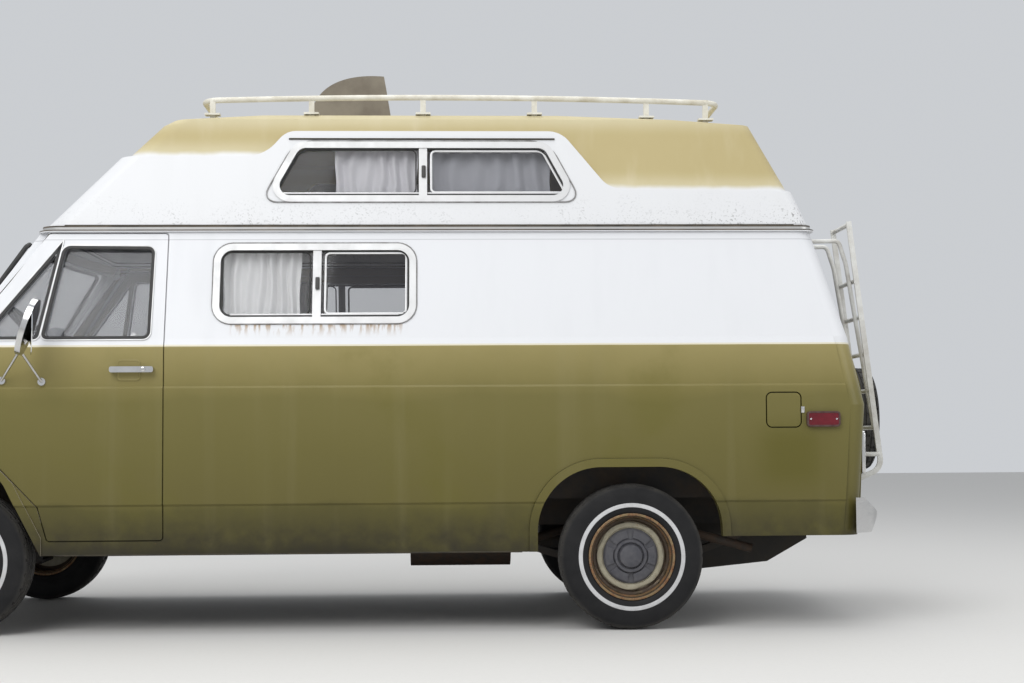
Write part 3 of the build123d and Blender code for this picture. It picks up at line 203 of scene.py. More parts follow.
def turned(name, profile, steps, finish):
    # a loop of (outward, radius) points spun round the Y axis; outward is -Y
    bpy.ops.mesh.primitive_circle_add(vertices=len(profile), radius=0.1)
    piece = named(name, finish)
    for vertex, (outward, radius) in zip(piece.data.vertices, profile):
        vertex.co = (0, -outward, radius)
    openMesh(piece)
    bpy.ops.mesh.spin(steps=steps, angle=math.tau, center=(0, 0, 0), axis=(0, 1, 0))
    bpy.ops.mesh.select_all(action="SELECT")
    bpy.ops.mesh.remove_doubles(threshold=0.00005)
    bpy.ops.mesh.normals_make_consistent(inside=False)
    closeMesh()
    return smooth(piece, 30)


# Building materials
def put(tree, kind, values=None, **settings):
    node = tree.nodes.new("ShaderNode" + kind)
    for key, value in settings.items():
        setattr(node, key, value)
    for key, value in (values or {}).items():
        socket = node.inputs[key]
        if isinstance(value, bpy.types.NodeSocket):
            tree.links.new(value, socket)
        else:
            socket.default_value = value
    return node


def maths(tree, operation, first, second=0.0, clamp=False):
    return put(tree, "Math", {0: first, 1: second}, operation=operation, use_clamp=clamp).outputs[0]


def times(tree, first, second, clamp=False):
    return maths(tree, "MULTIPLY", first, second, clamp)


def spread(tree, value, low, high, floor=0.0, ceiling=1.0):
    # value rescaled from low..high to floor..ceiling, smoothly
    return put(tree, "MapRange", {"Value": value, "From Min": low, "From Max": high, "To Min": floor,
                                  "To Max": ceiling}, interpolation_type="SMOOTHSTEP").outputs[0]


def within(tree, value, rise, fall):
    # 1 between two soft edges, each given by its two ends
    return times(tree, spread(tree, value, *rise), spread(tree, value, *fall, 1, 0))


def blendColour(tree, factor, first, second):
    # a plain colour is three numbers, and its opacity is 1
    first, second = ((*part, 1) if isinstance(part, tuple) else part for part in (first, second))
    return put(tree, "Mix", {0: factor, 6: first, 7: second}, data_type="RGBA").outputs[2]


def feed(shader, socket, value):
    shader.id_data.links.new(value, shader.inputs[socket])


def newGroup(name, inputs, outputs):
    group = bpy.data.node_groups.new(name, "ShaderNodeTree")
    for label, kind, value in inputs:
        socket = group.interface.new_socket(label, in_out="INPUT", socket_type="NodeSocket" + kind)
        if value is not None:
            socket.default_value = value
    for label, kind in outputs:
        group.interface.new_socket(label, in_out="OUTPUT", socket_type="NodeSocket" + kind)
    return group, group.nodes.new("NodeGroupInput"), group.nodes.new("NodeGroupOutput")


def useGroup(tree, group, values):
    node = tree.nodes.new("ShaderNodeGroup")
    node.node_tree = group
    for key, value in values.items():
        if isinstance(value, bpy.types.NodeSocket):
            tree.links.new(value, node.inputs[key])
        else:
            node.inputs[key].default_value = value
    return node


def newMaterial(name, colour, roughness, metallic=0.0, **sockets):
    material = bpy.data.materials.new(name)
    material.use_nodes = True
    tree = material.node_tree
    shader = tree.nodes["Principled BSDF"]
    shader.inputs["Base Color"].default_value = (*colour[:3], 1)
    shader.inputs["Roughness"].default_value = roughness
    shader.inputs["Metallic"].default_value = metallic
    for key, value in sockets.items():
        shader.inputs[key.replace("_", " ")].default_value = value
    coordinates = tree.nodes.new("ShaderNodeTexCoord")
    return material, tree, shader, coordinates


# spots: soft or hard blotches of any size
spots, start, end = newGroup("spots", [("Place", "Vector", None), ("Size", "Float", 8.0),
                                       ("Low", "Float", 0.5), ("High", "Float", 0.7),
                                       ("Detail", "Float", 4.0)], [("Mask", "Float")])
noise = put(spots, "TexNoise", {"Vector": start.outputs["Place"], "Scale": start.outputs["Size"],
                                "Detail": start.outputs["Detail"], "Roughness": 0.6})
mask = put(spots, "MapRange", {"Value": noise.outputs[0], "From Min": start.outputs["Low"],
                               "From Max": start.outputs["High"]})
spots.links.new(mask.outputs[0], end.inputs["Mask"])


def spotMask(tree, place, size, low=0.5, high=0.7, detail=4.0):
    return useGroup(tree, spots, {"Place": place, "Size": size, "Low": low, "High": high,
                                  "Detail": detail}).outputs[0]


# runs: streaks down a wall
runs, start, end = newGroup("runs", [("Place", "Vector", None), ("Width", "Float", 30.0),
                                     ("Length", "Float", 1.2), ("Low", "Float", 0.5),
                                     ("High", "Float", 0.75)], [("Mask", "Float")])
stretch = put(runs, "CombineXYZ", {"X": start.outputs["Width"], "Y": start.outputs["Width"],
                                   "Z": start.outputs["Length"]})
place = put(runs, "VectorMath", {0: start.outputs["Place"], 1: stretch.outputs[0]}, operation="MULTIPLY")
noise = put(runs, "TexNoise", {"Vector": place.outputs[0], "Scale": 1.0, "Detail": 5.0})
mask = put(runs, "MapRange", {"Value": noise.outputs[0], "From Min": start.outputs["Low"],
                              "From Max": start.outputs["High"]})
runs.links.new(mask.outputs[0], end.inputs["Mask"])


def runMask(tree, place, width, length, low, high):
    return useGroup(tree, runs, {"Place": place, "Width": width, "Length": length, "Low": low,
                                 "High": high}).outputs[0]


# grain: fine bumps, as orange peel, cast skin or chalky paint
grain, start, end = newGroup("grain", [("Place", "Vector", None), ("Size", "Float", 300.0),
                                       ("Strength", "Float", 0.1), ("Depth", "Float", 0.001)],
                             [("Normal", "Vector"), ("Shade", "Float")])
noise = put(grain, "TexNoise", {"Vector": start.outputs["Place"], "Scale": start.outputs["Size"],
                                "Detail": 3.0})
bump = put(grain, "Bump", {"Strength": start.outputs["Strength"], "Distance": start.outputs["Depth"],
                           "Height": noise.outputs[0]})
grain.links.new(bump.outputs[0], end.inputs["Normal"])
grain.links.new(noise.outputs[0], end.inputs["Shade"])


def grainSkin(tree, shader, place, size, strength, depth):
    # fine bumps over the whole finish
    skin = useGroup(tree, grain, {"Place": place, "Size": size, "Strength": strength, "Depth": depth})
    feed(shader, "Normal", skin.outputs["Normal"])


# rust: pits and blooms, with their colour
rust, start, end = newGroup("rust", [("Place", "Vector", None), ("Size", "Float", 30.0),
                                     ("Low", "Float", 0.5), ("High", "Float", 0.6)],
                            [("Mask", "Float"), ("Colour", "Color")])
noise = put(rust, "TexNoise", {"Vector": start.outputs["Place"], "Scale": start.outputs["Size"],
                               "Detail": 8.0, "Roughness": 0.7})
mask = put(rust, "MapRange", {"Value": noise.outputs[0], "From Min": start.outputs["Low"],
                              "From Max": start.outputs["High"]})
fine = put(rust, "TexNoise", {"Vector": start.outputs["Place"], "Scale": 160.0, "Detail": 4.0})
rustRamp = put(rust, "ValToRGB", {"Fac": fine.outputs[0]})
rustRamp.color_ramp.elements[0].position = 0.3
rustRamp.color_ramp.elements[0].color = (0.045, 0.018, 0.008, 1)
rustRamp.color_ramp.elements[1].position = 0.72
rustRamp.color_ramp.elements[1].color = (0.36, 0.16, 0.055, 1)
rust.links.new(mask.outputs[0], end.inputs["Mask"])
rust.links.new(rustRamp.outputs[0], end.inputs["Colour"])


def rustBloom(tree, place, size, low, high):
    return useGroup(tree, rust, {"Place": place, "Size": size, "Low": low, "High": high})


# weave: warp and weft on the cloth's own UV map
weave, start, end = newGroup("weave", [("Place", "Vector", None), ("Threads", "Float", 300.0),
                                       ("Strength", "Float", 0.3)],
                             [("Normal", "Vector"), ("Shade", "Float")])
warp = put(weave, "TexWave", {"Vector": start.outputs["Place"], "Scale": start.outputs["Threads"]},
           bands_direction="X")
weft = put(weave, "TexWave", {"Vector": start.outputs["Place"], "Scale": start.outputs["Threads"]},
           bands_direction="Y")
cloth = maths(weave, "MAXIMUM", warp.outputs[1], weft.outputs[1])
bump = put(weave, "Bump", {"Strength": start.outputs["Strength"], "Distance": 0.0006, "Height": cloth})
weave.links.new(bump.outputs[0], end.inputs["Normal"])
weave.links.new(cloth, end.inputs["Shade"])

# Body paint: olive below, white above, lining inside
paintLook = {
    # the thin cream band just under the paint line is a painted highlight along the bend
    "paintLine": 1.357, "highlightLine": 0.008,
    # olive: colours up the body, darker towards the sill as painted shade
    "olive": [(0.37, (0.022, 0.020, 0.009)), (0.43, (0.066, 0.058, 0.018)), (0.595, (0.092, 0.081, 0.024)),
              (0.62, (0.118, 0.102, 0.031)), (0.85, (0.136, 0.119, 0.036)), (1.10, (0.158, 0.138, 0.045)),
              (1.18, (0.205, 0.174, 0.062)), (1.35, (0.290, 0.244, 0.100))],
    "white": (0.690, 0.697, 0.715), "cream": (0.66, 0.62, 0.49), "lining": (0.34, 0.30, 0.23),
}


def paintMaterial(name, liningAxis):
    look = paintLook
    material, tree, shader, coordinates = newMaterial(name, look["white"], 0.42, Coat_Weight=0.03,
                                                      Coat_Roughness=0.25, Specular_IOR_Level=0.22)
    place = coordinates.outputs["Object"]
    split = put(tree, "SeparateXYZ", {0: place})
    x, y, z = split.outputs
    blotches = spotMask(tree, place, 1.3, 0.25, 0.75, 6.0)
    washes = runMask(tree, place, 9.0, 0.35, 0.35, 0.8)
    # the olive, read up the body, darkens from the paint line down to the sill: painted shade
    wobble = times(tree, maths(tree, "SUBTRACT", blotches, 0.5), 0.10)
    height = put(tree, "MapRange", {"Value": maths(tree, "ADD", z, wobble), "From Min": 0.37,
                                    "From Max": 1.36})
    ramp = put(tree, "ValToRGB", {"Fac": height.outputs[0]})
    stops = ramp.color_ramp.elements
    for count, (level, colour) in enumerate(look["olive"]):
        at = (level - 0.37) / 0.99
        stop = stops[count] if count < 2 else stops.new(at)
        stop.position = at
        stop.color = (*colour, 1)
    greener = blendColour(tree, spread(tree, blotches, 0.55, 0.95, 0, 0.45), ramp.outputs[0],
                          (0.118, 0.106, 0.018))
    olive = blendColour(tree, spread(tree, washes, 0.3, 1.0, 0, 0.12), greener, (0.28, 0.25, 0.14))
    # a darker stain below the fuel flap
    stainX = maths(tree, "ABSOLUTE", maths(tree, "SUBTRACT", x, rearAxle + 0.76))
    stainZ = maths(tree, "ABSOLUTE", maths(tree, "SUBTRACT", z, 0.82))
    near = times(tree, spread(tree, stainX, 0.05, 0.24, 1, 0), spread(tree, stainZ, 0.05, 0.22, 1, 0))
    stain = times(tree, near, spread(tree, y, -0.9, -0.8, 0.55, 0))
    olive = blendColour(tree, stain, olive, (0.092, 0.082, 0.010))
    # white with grey washes, and painted shade just under the drip rail
    white = blendColour(tree, spread(tree, washes, 0.2, 1.0, 0, 0.10), look["white"], (0.52, 0.53, 0.55))
    white = blendColour(tree, spread(tree, z, 1.870, 1.905, 0, 0.10), white, (0.36, 0.37, 0.40))
    offSeam = maths(tree, "ABSOLUTE", maths(tree, "SUBTRACT", z, 1.868))
    seam = times(tree, spread(tree, offSeam, 0.0015, 0.0035, 1, 0), 0.45)
    white = blendColour(tree, seam, white, (0.30, 0.30, 0.32))
    # rust and yellow drips below the camper window
    under = within(tree, z, (1.385, 1.470), (1.475, 1.490))
    along = within(tree, x, (rearAxle - 1.93, rearAxle - 1.85), (rearAxle - 1.12, rearAxle - 1.05))
    dripRuns = runMask(tree, place, 48.0, 3.0, 0.47, 0.58)
    drips = times(tree, times(tree, under, along), dripRuns)
    white = blendColour(tree, times(tree, drips, 0.85), white, (0.30, 0.165, 0.040))
    # a thin cream band just under the paint line, then white above it: the cream band is a painted highlight
    line = look["paintLine"]
    edge = maths(tree, "ADD", z, times(tree, maths(tree, "SUBTRACT", blotches, 0.5), 0.002))
    highlightFoot = line - look["highlightLine"]
    colour = blendColour(tree, spread(tree, edge, highlightFoot - 0.001, highlightFoot + 0.001), olive, look["cream"])
    colour = blendColour(tree, spread(tree, edge, line - 0.001, line + 0.001), colour, white)
    # grime that gathers towards the sill
    dirt = spotMask(tree, place, 14.0, 0.35, 0.75, 8.0)
    low = times(tree, spread(tree, z, 0.38, 0.62, 0.75, 0), maths(tree, "ADD", dirt, 0.35), clamp=True)
    colour = blendColour(tree, low, colour, (0.030, 0.026, 0.016))
    chips = rustBloom(tree, place, 55.0, 0.69, 0.71)
    few = times(tree, chips.outputs["Mask"], spread(tree, z, 0.42, 0.9, 0.8, 0.0))
    colour = blendColour(tree, few, colour, chips.outputs["Colour"])
    # the inner face of a wall or door is plain trim board
    facing = put(tree, "VectorMath", {0: coordinates.outputs["Normal"], 1: liningAxis}, operation="MULTIPLY")
    inward = put(tree, "VectorMath", {0: facing.outputs[0], 1: place},
                 operation="DOT_PRODUCT").outputs["Value"]
    lining = spread(tree, inward, -0.45, -0.40, 1, 0)
    board = useGroup(tree, grain, {"Place": place, "Size": 240.0, "Strength": 0.25, "Depth": 0.001})
    lined = blendColour(tree, spread(tree, board.outputs["Shade"], 0.3, 0.7, 0, 0.35), look["lining"],
                        (0.22, 0.19, 0.14))
    feed(shader, "Base Color", blendColour(tree, lining, colour, lined))
    dull = maths(tree, "ADD", spread(tree, washes, 0.2, 0.9, 0.30, 0.44), times(tree, low, 0.3), clamp=True)
    feed(shader, "Roughness", maths(tree, "MAXIMUM", dull, times(tree, lining, 0.8)))
    grainSkin(tree, shader, place, 75.0, 0.06, 0.002)
    return material


sidePaint = paintMaterial("sidePaint", (0, 1, 0))
endPaint = paintMaterial("endPaint", (0.45, 0, 0))

# High top: white gel coat with an inset tan crown
# the pale tan also serves as the painted highlight along the rounded top
gelLook = {"white": (0.685, 0.690, 0.700), "tan": (0.450, 0.375, 0.195), "paleTan": (0.600, 0.545, 0.370),
           "bandFoot": 0.860, "bandSlope": 0.1785, "bandBase": 1.937}
highTopGel, tree, shader, coordinates = newMaterial("highTopGel", gelLook["white"], 0.40,
                                                    Specular_IOR_Level=0.25, Coat_Weight=0.04,
                                                    Coat_Roughness=0.3)
place = coordinates.outputs["Object"]
x, y, z = put(tree, "SeparateXYZ", {0: place}).outputs
bandWidth = maths(tree, "SUBTRACT", gelLook["bandFoot"],
                  times(tree, maths(tree, "SUBTRACT", z, gelLook["bandBase"]), gelLook["bandSlope"]))
inset = maths(tree, "SUBTRACT", bandWidth, maths(tree, "ABSOLUTE", y))      # how far in from the band's plane
# the band's top edge: level over the front, sloping down past the window, then nearly level
slopeDown = put(tree, "MapRange", {"Value": x, "From Min": rearAxle - 1.5, "From Max": rearAxle - 0.6,
                                   "To Min": 2.288, "To Max": 2.124}).outputs[0]
rearFall = put(tree, "MapRange", {"Value": x, "From Min": rearAxle - 0.6, "From Max": rearAxle + 0.809,
                                  "To Min": 0.0, "To Max": -0.012}).outputs[0]
ledge = maths(tree, "ADD", slopeDown, rearFall)
above = maths(tree, "SUBTRACT", z, ledge)
softEdge = spotMask(tree, place, 5.0, 0.2, 0.8, 3.0)
reach = times(tree, softEdge, 0.02)
risen = spread(tree, maths(tree, "SUBTRACT", above, reach), -0.004, 0.03)
crown = times(tree, spread(tree, inset, 0.018, 0.046), risen)
blotches = spotMask(tree, place, 2.2, 0.3, 0.75, 7.0)
washes = runMask(tree, place, 7.0, 0.8, 0.3, 0.8)
# the tan is paler just above its lower edge, and paler towards the top as a painted highlight along the
# rounded top
ledgePaleAndTopHighlight = maths(tree, "MAXIMUM", spread(tree, above, 0.02, 0.11, 0.75, 0.0),
              spread(tree, z, 2.40, 2.505, 0, 0.8))
tan = blendColour(tree, ledgePaleAndTopHighlight, gelLook["tan"], gelLook["paleTan"])
tan = blendColour(tree, times(tree, blotches, 0.35), tan, (0.390, 0.315, 0.140))
tan = blendColour(tree, spread(tree, washes, 0.4, 1.0, 0, 0.30), tan, (0.640, 0.580, 0.430))
white = blendColour(tree, spread(tree, washes, 0.3, 1.0, 0, 0.08), gelLook["white"], (0.53, 0.53, 0.52))
mildew = spotMask(tree, place, 95.0, 0.55, 0.63, 5.0)
patches = spotMask(tree, place, 4.0, 0.45, 0.70, 3.0)
where = times(tree, spread(tree, z, 1.95, 2.14, 1, 0), maths(tree, "ADD", patches, 0.10), clamp=True)
rearward = spread(tree, x, rearAxle - 0.2, rearAxle + 0.75, 0.45, 1.0)
dots = times(tree, times(tree, where, rearward), mildew)
colour = blendColour(tree, crown, white, tan)
colour = blendColour(tree, dots, colour, (0.07, 0.065, 0.05))
footDirt = times(tree, spread(tree, z, 1.937, 1.952, 0.5, 0), maths(tree, "ADD", patches, 0.3), clamp=True)
colour = blendColour(tree, footDirt, colour, (0.10, 0.095, 0.08))
feed(shader, "Base Color", colour)
feed(shader, "Roughness", spread(tree, crown, 0, 1, 0.34, 0.58))
grainSkin(tree, shader, place, 60.0, 0.08, 0.003)


# Metals, rubber, glass and the rest
def metalMaterial(name, colour, roughness, pits=0.64, dull=(0.32, 0.30, 0.27), metallic=1.0):
    material, tree, shader, coordinates = newMaterial(name, colour, roughness, metallic)
    place = coordinates.outputs["Object"]
    film = spotMask(tree, place, 12.0, 0.35, 0.8, 8.0)
    bloom = rustBloom(tree, place, 70.0, pits, pits + 0.04)
    colourOut = blendColour(tree, times(tree, film, 0.45), colour, dull)
    colourOut = blendColour(tree, bloom.outputs["Mask"], colourOut, bloom.outputs["Colour"])
    feed(shader, "Base Color", colourOut)
    feed(shader, "Roughness", maths(tree, "ADD", spread(tree, film, 0, 1, roughness, roughness + 0.22),
                                    times(tree, bloom.outputs["Mask"], 0.4), clamp=True))
    grainSkin(tree, shader, place, 220.0, 0.08, 0.001)
    return material


def plainMaterial(name, colour, worn, roughness, size=20.0, grainSize=260.0, bumps=0.2, **sockets):
    # one colour that wanders towards a worn one
    material, tree, shader, coordinates = newMaterial(name, colour, roughness, **sockets)
    place = coordinates.outputs["Object"]
    wear = spotMask(tree, place, size, 0.38, 0.72, 7.0)
    feed(shader, "Base Color", blendColour(tree, wear, colour, worn))
    feed(shader, "Roughness", spread(tree, wear, 0, 1, roughness, min(1.0, roughness + 0.18)))
    grainSkin(tree, shader, place, grainSize, bumps, 0.001)
    return material


chrome = metalMaterial("chrome", (0.72, 0.72, 0.72), 0.10, pits=0.70)
dripChrome = metalMaterial("dripChrome", (0.58, 0.58, 0.57), 0.30, pits=0.70)
railLook = {"strip": (1.918, 1.929), "foot": 1.911, "white": (0.66, 0.665, 0.68)}
tree = dripChrome.node_tree
place = next(node for node in tree.nodes if node.bl_idname == "ShaderNodeTexCoord").outputs["Object"]
shader = tree.nodes["Principled BSDF"]
height = put(tree, "SeparateXYZ", {0: place}).outputs[2]
patches = spotMask(tree, place, 7.0, 0.35, 0.65, 6.0)
low, high = railLook["strip"]
strip = within(tree, height, (low, low + 0.001), (high, high + 0.001))
body = spread(tree, height, railLook["foot"] - 0.0005, railLook["foot"] + 0.0005, 1, 0)
bloom = shader.inputs["Base Color"].links[0].from_socket
# outside the bright strip the rail is dark: dirt, and painted shade along the rail
dirtAndShade = blendColour(tree, times(tree, patches, 0.55), (0.030, 0.024, 0.017), (0.19, 0.15, 0.11))
worn = blendColour(tree, strip, dirtAndShade, bloom)
feed(shader, "Base Color", blendColour(tree, body, worn, railLook["white"]))
feed(shader, "Metallic", times(tree, strip, 0.6))
windowAlloy = metalMaterial("windowAlloy", (0.62, 0.62, 0.62), 0.40, pits=0.80, dull=(0.50, 0.50, 0.49),
                            metallic=0.35)
postAlloy = metalMaterial("postAlloy", (0.74, 0.74, 0.73), 0.30, pits=0.78)
rackPaint = plainMaterial("rackPaint", (0.70, 0.68, 0.60), (0.48, 0.44, 0.34), 0.42, size=9.0, bumps=0.10)
ladderPaint = plainMaterial("ladderPaint", (0.66, 0.66, 0.63), (0.46, 0.44, 0.40), 0.38, size=12.0,
                            bumps=0.10)
ventPlastic = plainMaterial("ventPlastic", (0.19, 0.165, 0.125), (0.13, 0.11, 0.085), 0.48, size=7.0,
                            bumps=0.12)
blackRubber = plainMaterial("blackRubber", (0.018, 0.018, 0.018), (0.05, 0.048, 0.045), 0.62, size=26.0)
darkPlastic = plainMaterial("darkPlastic", (0.030, 0.029, 0.028), (0.055, 0.052, 0.048), 0.50, size=16.0)
floorPaint = plainMaterial("floorPaint", (0.050, 0.046, 0.040), (0.022, 0.019, 0.016), 0.75, size=8.0)
chassisPaint = plainMaterial("chassisPaint", (0.022, 0.020, 0.018), (0.060, 0.044, 0.032), 0.72, size=11.0,
                             bumps=0.35)
tankPaint = plainMaterial("tankPaint", (0.014, 0.012, 0.009), (0.036, 0.029, 0.021), 0.70, size=9.0,
                          bumps=0.35)
# rusty steel with its colours darkened: painted shade under the van
exhaustSteel = plainMaterial("exhaustSteel", (0.035, 0.027, 0.021), (0.075, 0.045, 0.028), 0.70, size=30.0,
                             bumps=0.45, metallic=0.4)
engineIron = plainMaterial("engineIron", (0.055, 0.050, 0.045), (0.100, 0.070, 0.045), 0.66, size=14.0,
                           bumps=0.4)
cabinetWood = plainMaterial("cabinetWood", (0.270, 0.150, 0.070), (0.170, 0.090, 0.042), 0.42, size=3.0,
                            bumps=0.10)
hubPlastic = plainMaterial("hubPlastic", (0.052, 0.052, 0.062), (0.095, 0.093, 0.100), 0.46, size=24.0,
                           bumps=0.25)
rimDark = plainMaterial("rimDark", (0.050, 0.012, 0.012), (0.085, 0.050, 0.040), 0.45, size=40.0)
sealantGrey = plainMaterial("sealantGrey", (0.30, 0.30, 0.30), (0.11, 0.10, 0.09), 0.60, size=18.0)
gasketDirt = plainMaterial("gasketDirt", (0.028, 0.024, 0.016), (0.075, 0.062, 0.038), 0.80, size=30.0)

glassLook = {
    # tint, opacity of one face, share of greyer patches: smears, and painted reflection
    "paneGlass": ((0.110, 0.110, 0.122), 0.13, 0.30),
    "cabGlass": ((0.095, 0.100, 0.115), 0.26, 0.20),
}


def glassMaterial(name):
    tint, alpha, smearAndReflection = glassLook[name]
    material, tree, shader, coordinates = newMaterial(name, tint, 0.06, Alpha=alpha, IOR=1.5, Coat_Weight=0.5,
                                                      Coat_Roughness=0.02)
    smear = spotMask(tree, coordinates.outputs["Object"], 3.0, 0.35, 0.75, 6.0)
    feed(shader, "Roughness", spread(tree, smear, 0, 1, 0.03, 0.14))
    # greyer patches: smears on the glass, and painted reflection
    feed(shader, "Base Color", blendColour(tree, times(tree, smear, smearAndReflection), tint, (0.25, 0.25, 0.27)))
    material.surface_render_method = "BLENDED"
    return material


paneGlass = glassMaterial("paneGlass")
cabGlass = glassMaterial("cabGlass")

lampRed, tree, shader, coordinates = newMaterial("lampRed", (0.11, 0.004, 0.010), 0.18, Coat_Weight=0.25,
                                                 Coat_Roughness=0.05, Specular_IOR_Level=0.3)
place = coordinates.outputs["Object"]
ribs = put(tree, "TexWave", {"Vector": place, "Scale": 55.0}, bands_direction="Z")
bump = put(tree, "Bump", {"Strength": 0.35, "Distance": 0.001, "Height": ribs.outputs[1]})
feed(shader, "Normal", bump.outputs[0])
cloud = spotMask(tree, place, 16.0, 0.35, 0.7, 4.0)
redder = blendColour(tree, cloud, (0.085, 0.003, 0.008), (0.150, 0.006, 0.014))
along = put(tree, "SeparateXYZ", {0: place}).outputs[0]
feed(shader, "Base Color", blendColour(tree, spread(tree, along, -0.1, 0.1), (0.55, 0.17, 0.012), redder))
lampAmber = plainMaterial("lampAmber", (0.60, 0.20, 0.012), (0.72, 0.28, 0.03), 0.14, Coat_Weight=0.8)
lampClear, tree, shader, coordinates = newMaterial("lampClear", (0.62, 0.63, 0.62), 0.08, Coat_Weight=1.0,
                                                   Coat_Roughness=0.02, Metallic=0.35)
flutes = put(tree, "TexWave", {"Vector": coordinates.outputs["Object"], "Scale": 42.0}, bands_direction="Y")
bump = put(tree, "Bump", {"Strength": 0.5, "Distance": 0.002, "Height": flutes.outputs[1]})
feed(shader, "Normal", bump.outputs[0])
feed(shader, "Base Color", blendColour(tree, flutes.outputs[1], (0.50, 0.51, 0.51), (0.74, 0.75, 0.75)))
mirrorGlass, tree, shader, coordinates = newMaterial("mirrorGlass", (0.86, 0.87, 0.88), 0.03, 1.0)
smear = spotMask(tree, coordinates.outputs["Object"], 20.0)
feed(shader, "Roughness", spread(tree, smear, 0, 1, 0.02, 0.12))
print("materials ready")


def dress(finish, *nodes):
    for node in nodes:
        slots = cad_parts[node].material_slots
        if not slots:
            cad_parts[node].data.materials.append(finish)
        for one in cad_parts[node].material_slots:
            one.material = finish


dress(sidePaint, "side_panel_left", "side_panel_right", "wheel_lips", "sliding_door", "cab_door_left",
      "cab_door_right", "fuel_flap")
dress(endPaint, "nose_panels", "hood", "rear_frame", "rear_door_left", "rear_door_right")
dress(highTopGel, "high_top")
dress(dripChrome, "roof_frame")
dress(chrome, "bumpers", "grille", "door_chrome_left", "door_chrome_right")
dress(windowAlloy, "window_frames")
dress(paneGlass, "window_panes")
dress(cabGlass, "cab_glass_left", "cab_glass_right", "rear_glass_left", "rear_glass_right", "windscreen")
dress(rackPaint, "roof_rack")
dress(ventPlastic, "roof_vent")
dress(ladderPaint, "ladder")
dress(floorPaint, "floor_pan")
dress(chassisPaint, "chassis_rails", "cross_members", "wheel_housings", "firewall", "front_suspension",
      "rear_axle", "knuckle_left", "knuckle_right", "spare_carrier")
dress(tankPaint, "fuel_tank")
dress(exhaustSteel, "exhaust")
dress(engineIron, "engine_block")
dress(darkPlastic, "dashboard", "steering_wheel")
dress(cabinetWood, "cabinet", "bed", "seats", "curtains")
dress(lampClear, "head_lamps")
dress(lampRed, "signal_lamps")

# Tyres
tyreLook = {"steps": 120, "ring": (0.234, 0.253),
            # tread ribs that are cut by sipes, as (inner, outer) distances from the middle
            "ribs": ((0.009, 0.030), (0.045, 0.062), (0.076, 0.085)), "sipeDepth": 0.006}
tyreRubber, tree, shader, coordinates = newMaterial("tyreRubber", (0.020, 0.020, 0.022), 0.62,
                                                    Specular_IOR_Level=0.2)
place = coordinates.outputs["UV"]       # u is the radius, v the way across
split = put(tree, "SeparateXYZ", {0: place})
radius, across = split.outputs[0], split.outputs[1]
objectPlace = coordinates.outputs["Object"]
dust = spotMask(tree, objectPlace, 13.0, 0.3, 0.8, 8.0)
side = blendColour(tree, times(tree, dust, 0.55), (0.010, 0.010, 0.011), (0.026, 0.025, 0.025))
road = blendColour(tree, times(tree, dust, 0.9), (0.030, 0.029, 0.028), (0.075, 0.070, 0.062))
side = blendColour(tree, spread(tree, radius, 0.318, 0.342), side, road)
inner, outer = tyreLook["ring"]
band = within(tree, radius, (inner - 0.001, inner + 0.001), (outer - 0.001, outer + 0.001))
band = times(tree, band, spread(tree, across, 0.06, 0.07))
scuff = spotMask(tree, objectPlace, 22.0, 0.40, 0.80, 8.0)
letterRing = blendColour(tree, times(tree, scuff, 0.45), (0.560, 0.560, 0.565), (0.30, 0.29, 0.28))
feed(shader, "Base Color", blendColour(tree, band, side, letterRing))
grainSkin(tree, shader, objectPlace, 260.0, 0.2, 0.001)

# half of the section from the middle of the tread to the bead, as (across, radius)
tyreHalf = [(0.000, 0.3375), (0.006, 0.3375), (0.009, 0.3445), (0.030, 0.3440), (0.033, 0.3370),
            (0.042, 0.3370), (0.045, 0.3430), (0.062, 0.3415), (0.065, 0.3345), (0.073, 0.3335),
            (0.076, 0.3395), (0.085, 0.3340), (0.092, 0.3230), (0.0965, 0.3050), (0.0985, 0.2900),
            (0.0998, 0.2700), (0.0992, 0.2545), (0.1000, 0.2530), (0.1000, 0.2345), (0.0985, 0.2330),
            (0.0965, 0.2220), (0.0920, 0.2100), (0.0880, 0.2060), (0.0860, 0.1965)]
tyreProfile = tyreHalf + [(-across, radius) for across, radius in reversed(tyreHalf[1:])]
tyre = turned("tyreMaster", tyreProfile, tyreLook["steps"], tyreRubber)
# sipes across the tread ribs
openMesh(tyre)
pickFaces(lambda centre, normal: any(inner < abs(centre.y) < outer for inner, outer in tyreLook["ribs"]))
mesh = bmesh.from_edit_mesh(tyre.data)
for face in mesh.faces:
    centre = face.calc_center_median()
    turn = round(math.degrees(math.atan2(centre.x, centre.z)) / 3 + abs(centre.y) * 30)
    if face.select and (turn % 4 or math.hypot(centre.x, centre.z) < 0.33):
        face.select_set(False)
bmesh.update_edit_mesh(tyre.data)
bpy.ops.mesh.inset(thickness=0.0035, depth=-tyreLook["sipeDepth"], use_individual=True)
closeMesh()


def sectionMap(piece):
    # the map: u is the radius, v the way across
    layer = piece.data.uv_layers[0] if piece.data.uv_layers else piece.data.uv_layers.new(name="section")
    for loop in piece.data.loops:
        point = piece.data.vertices[loop.vertex_index].co
        layer.data[loop.index].uv = (math.hypot(point.x, point.z), -point.y)


sectionMap(tyre)
smooth(tyre, 30)
print("tyre ready")

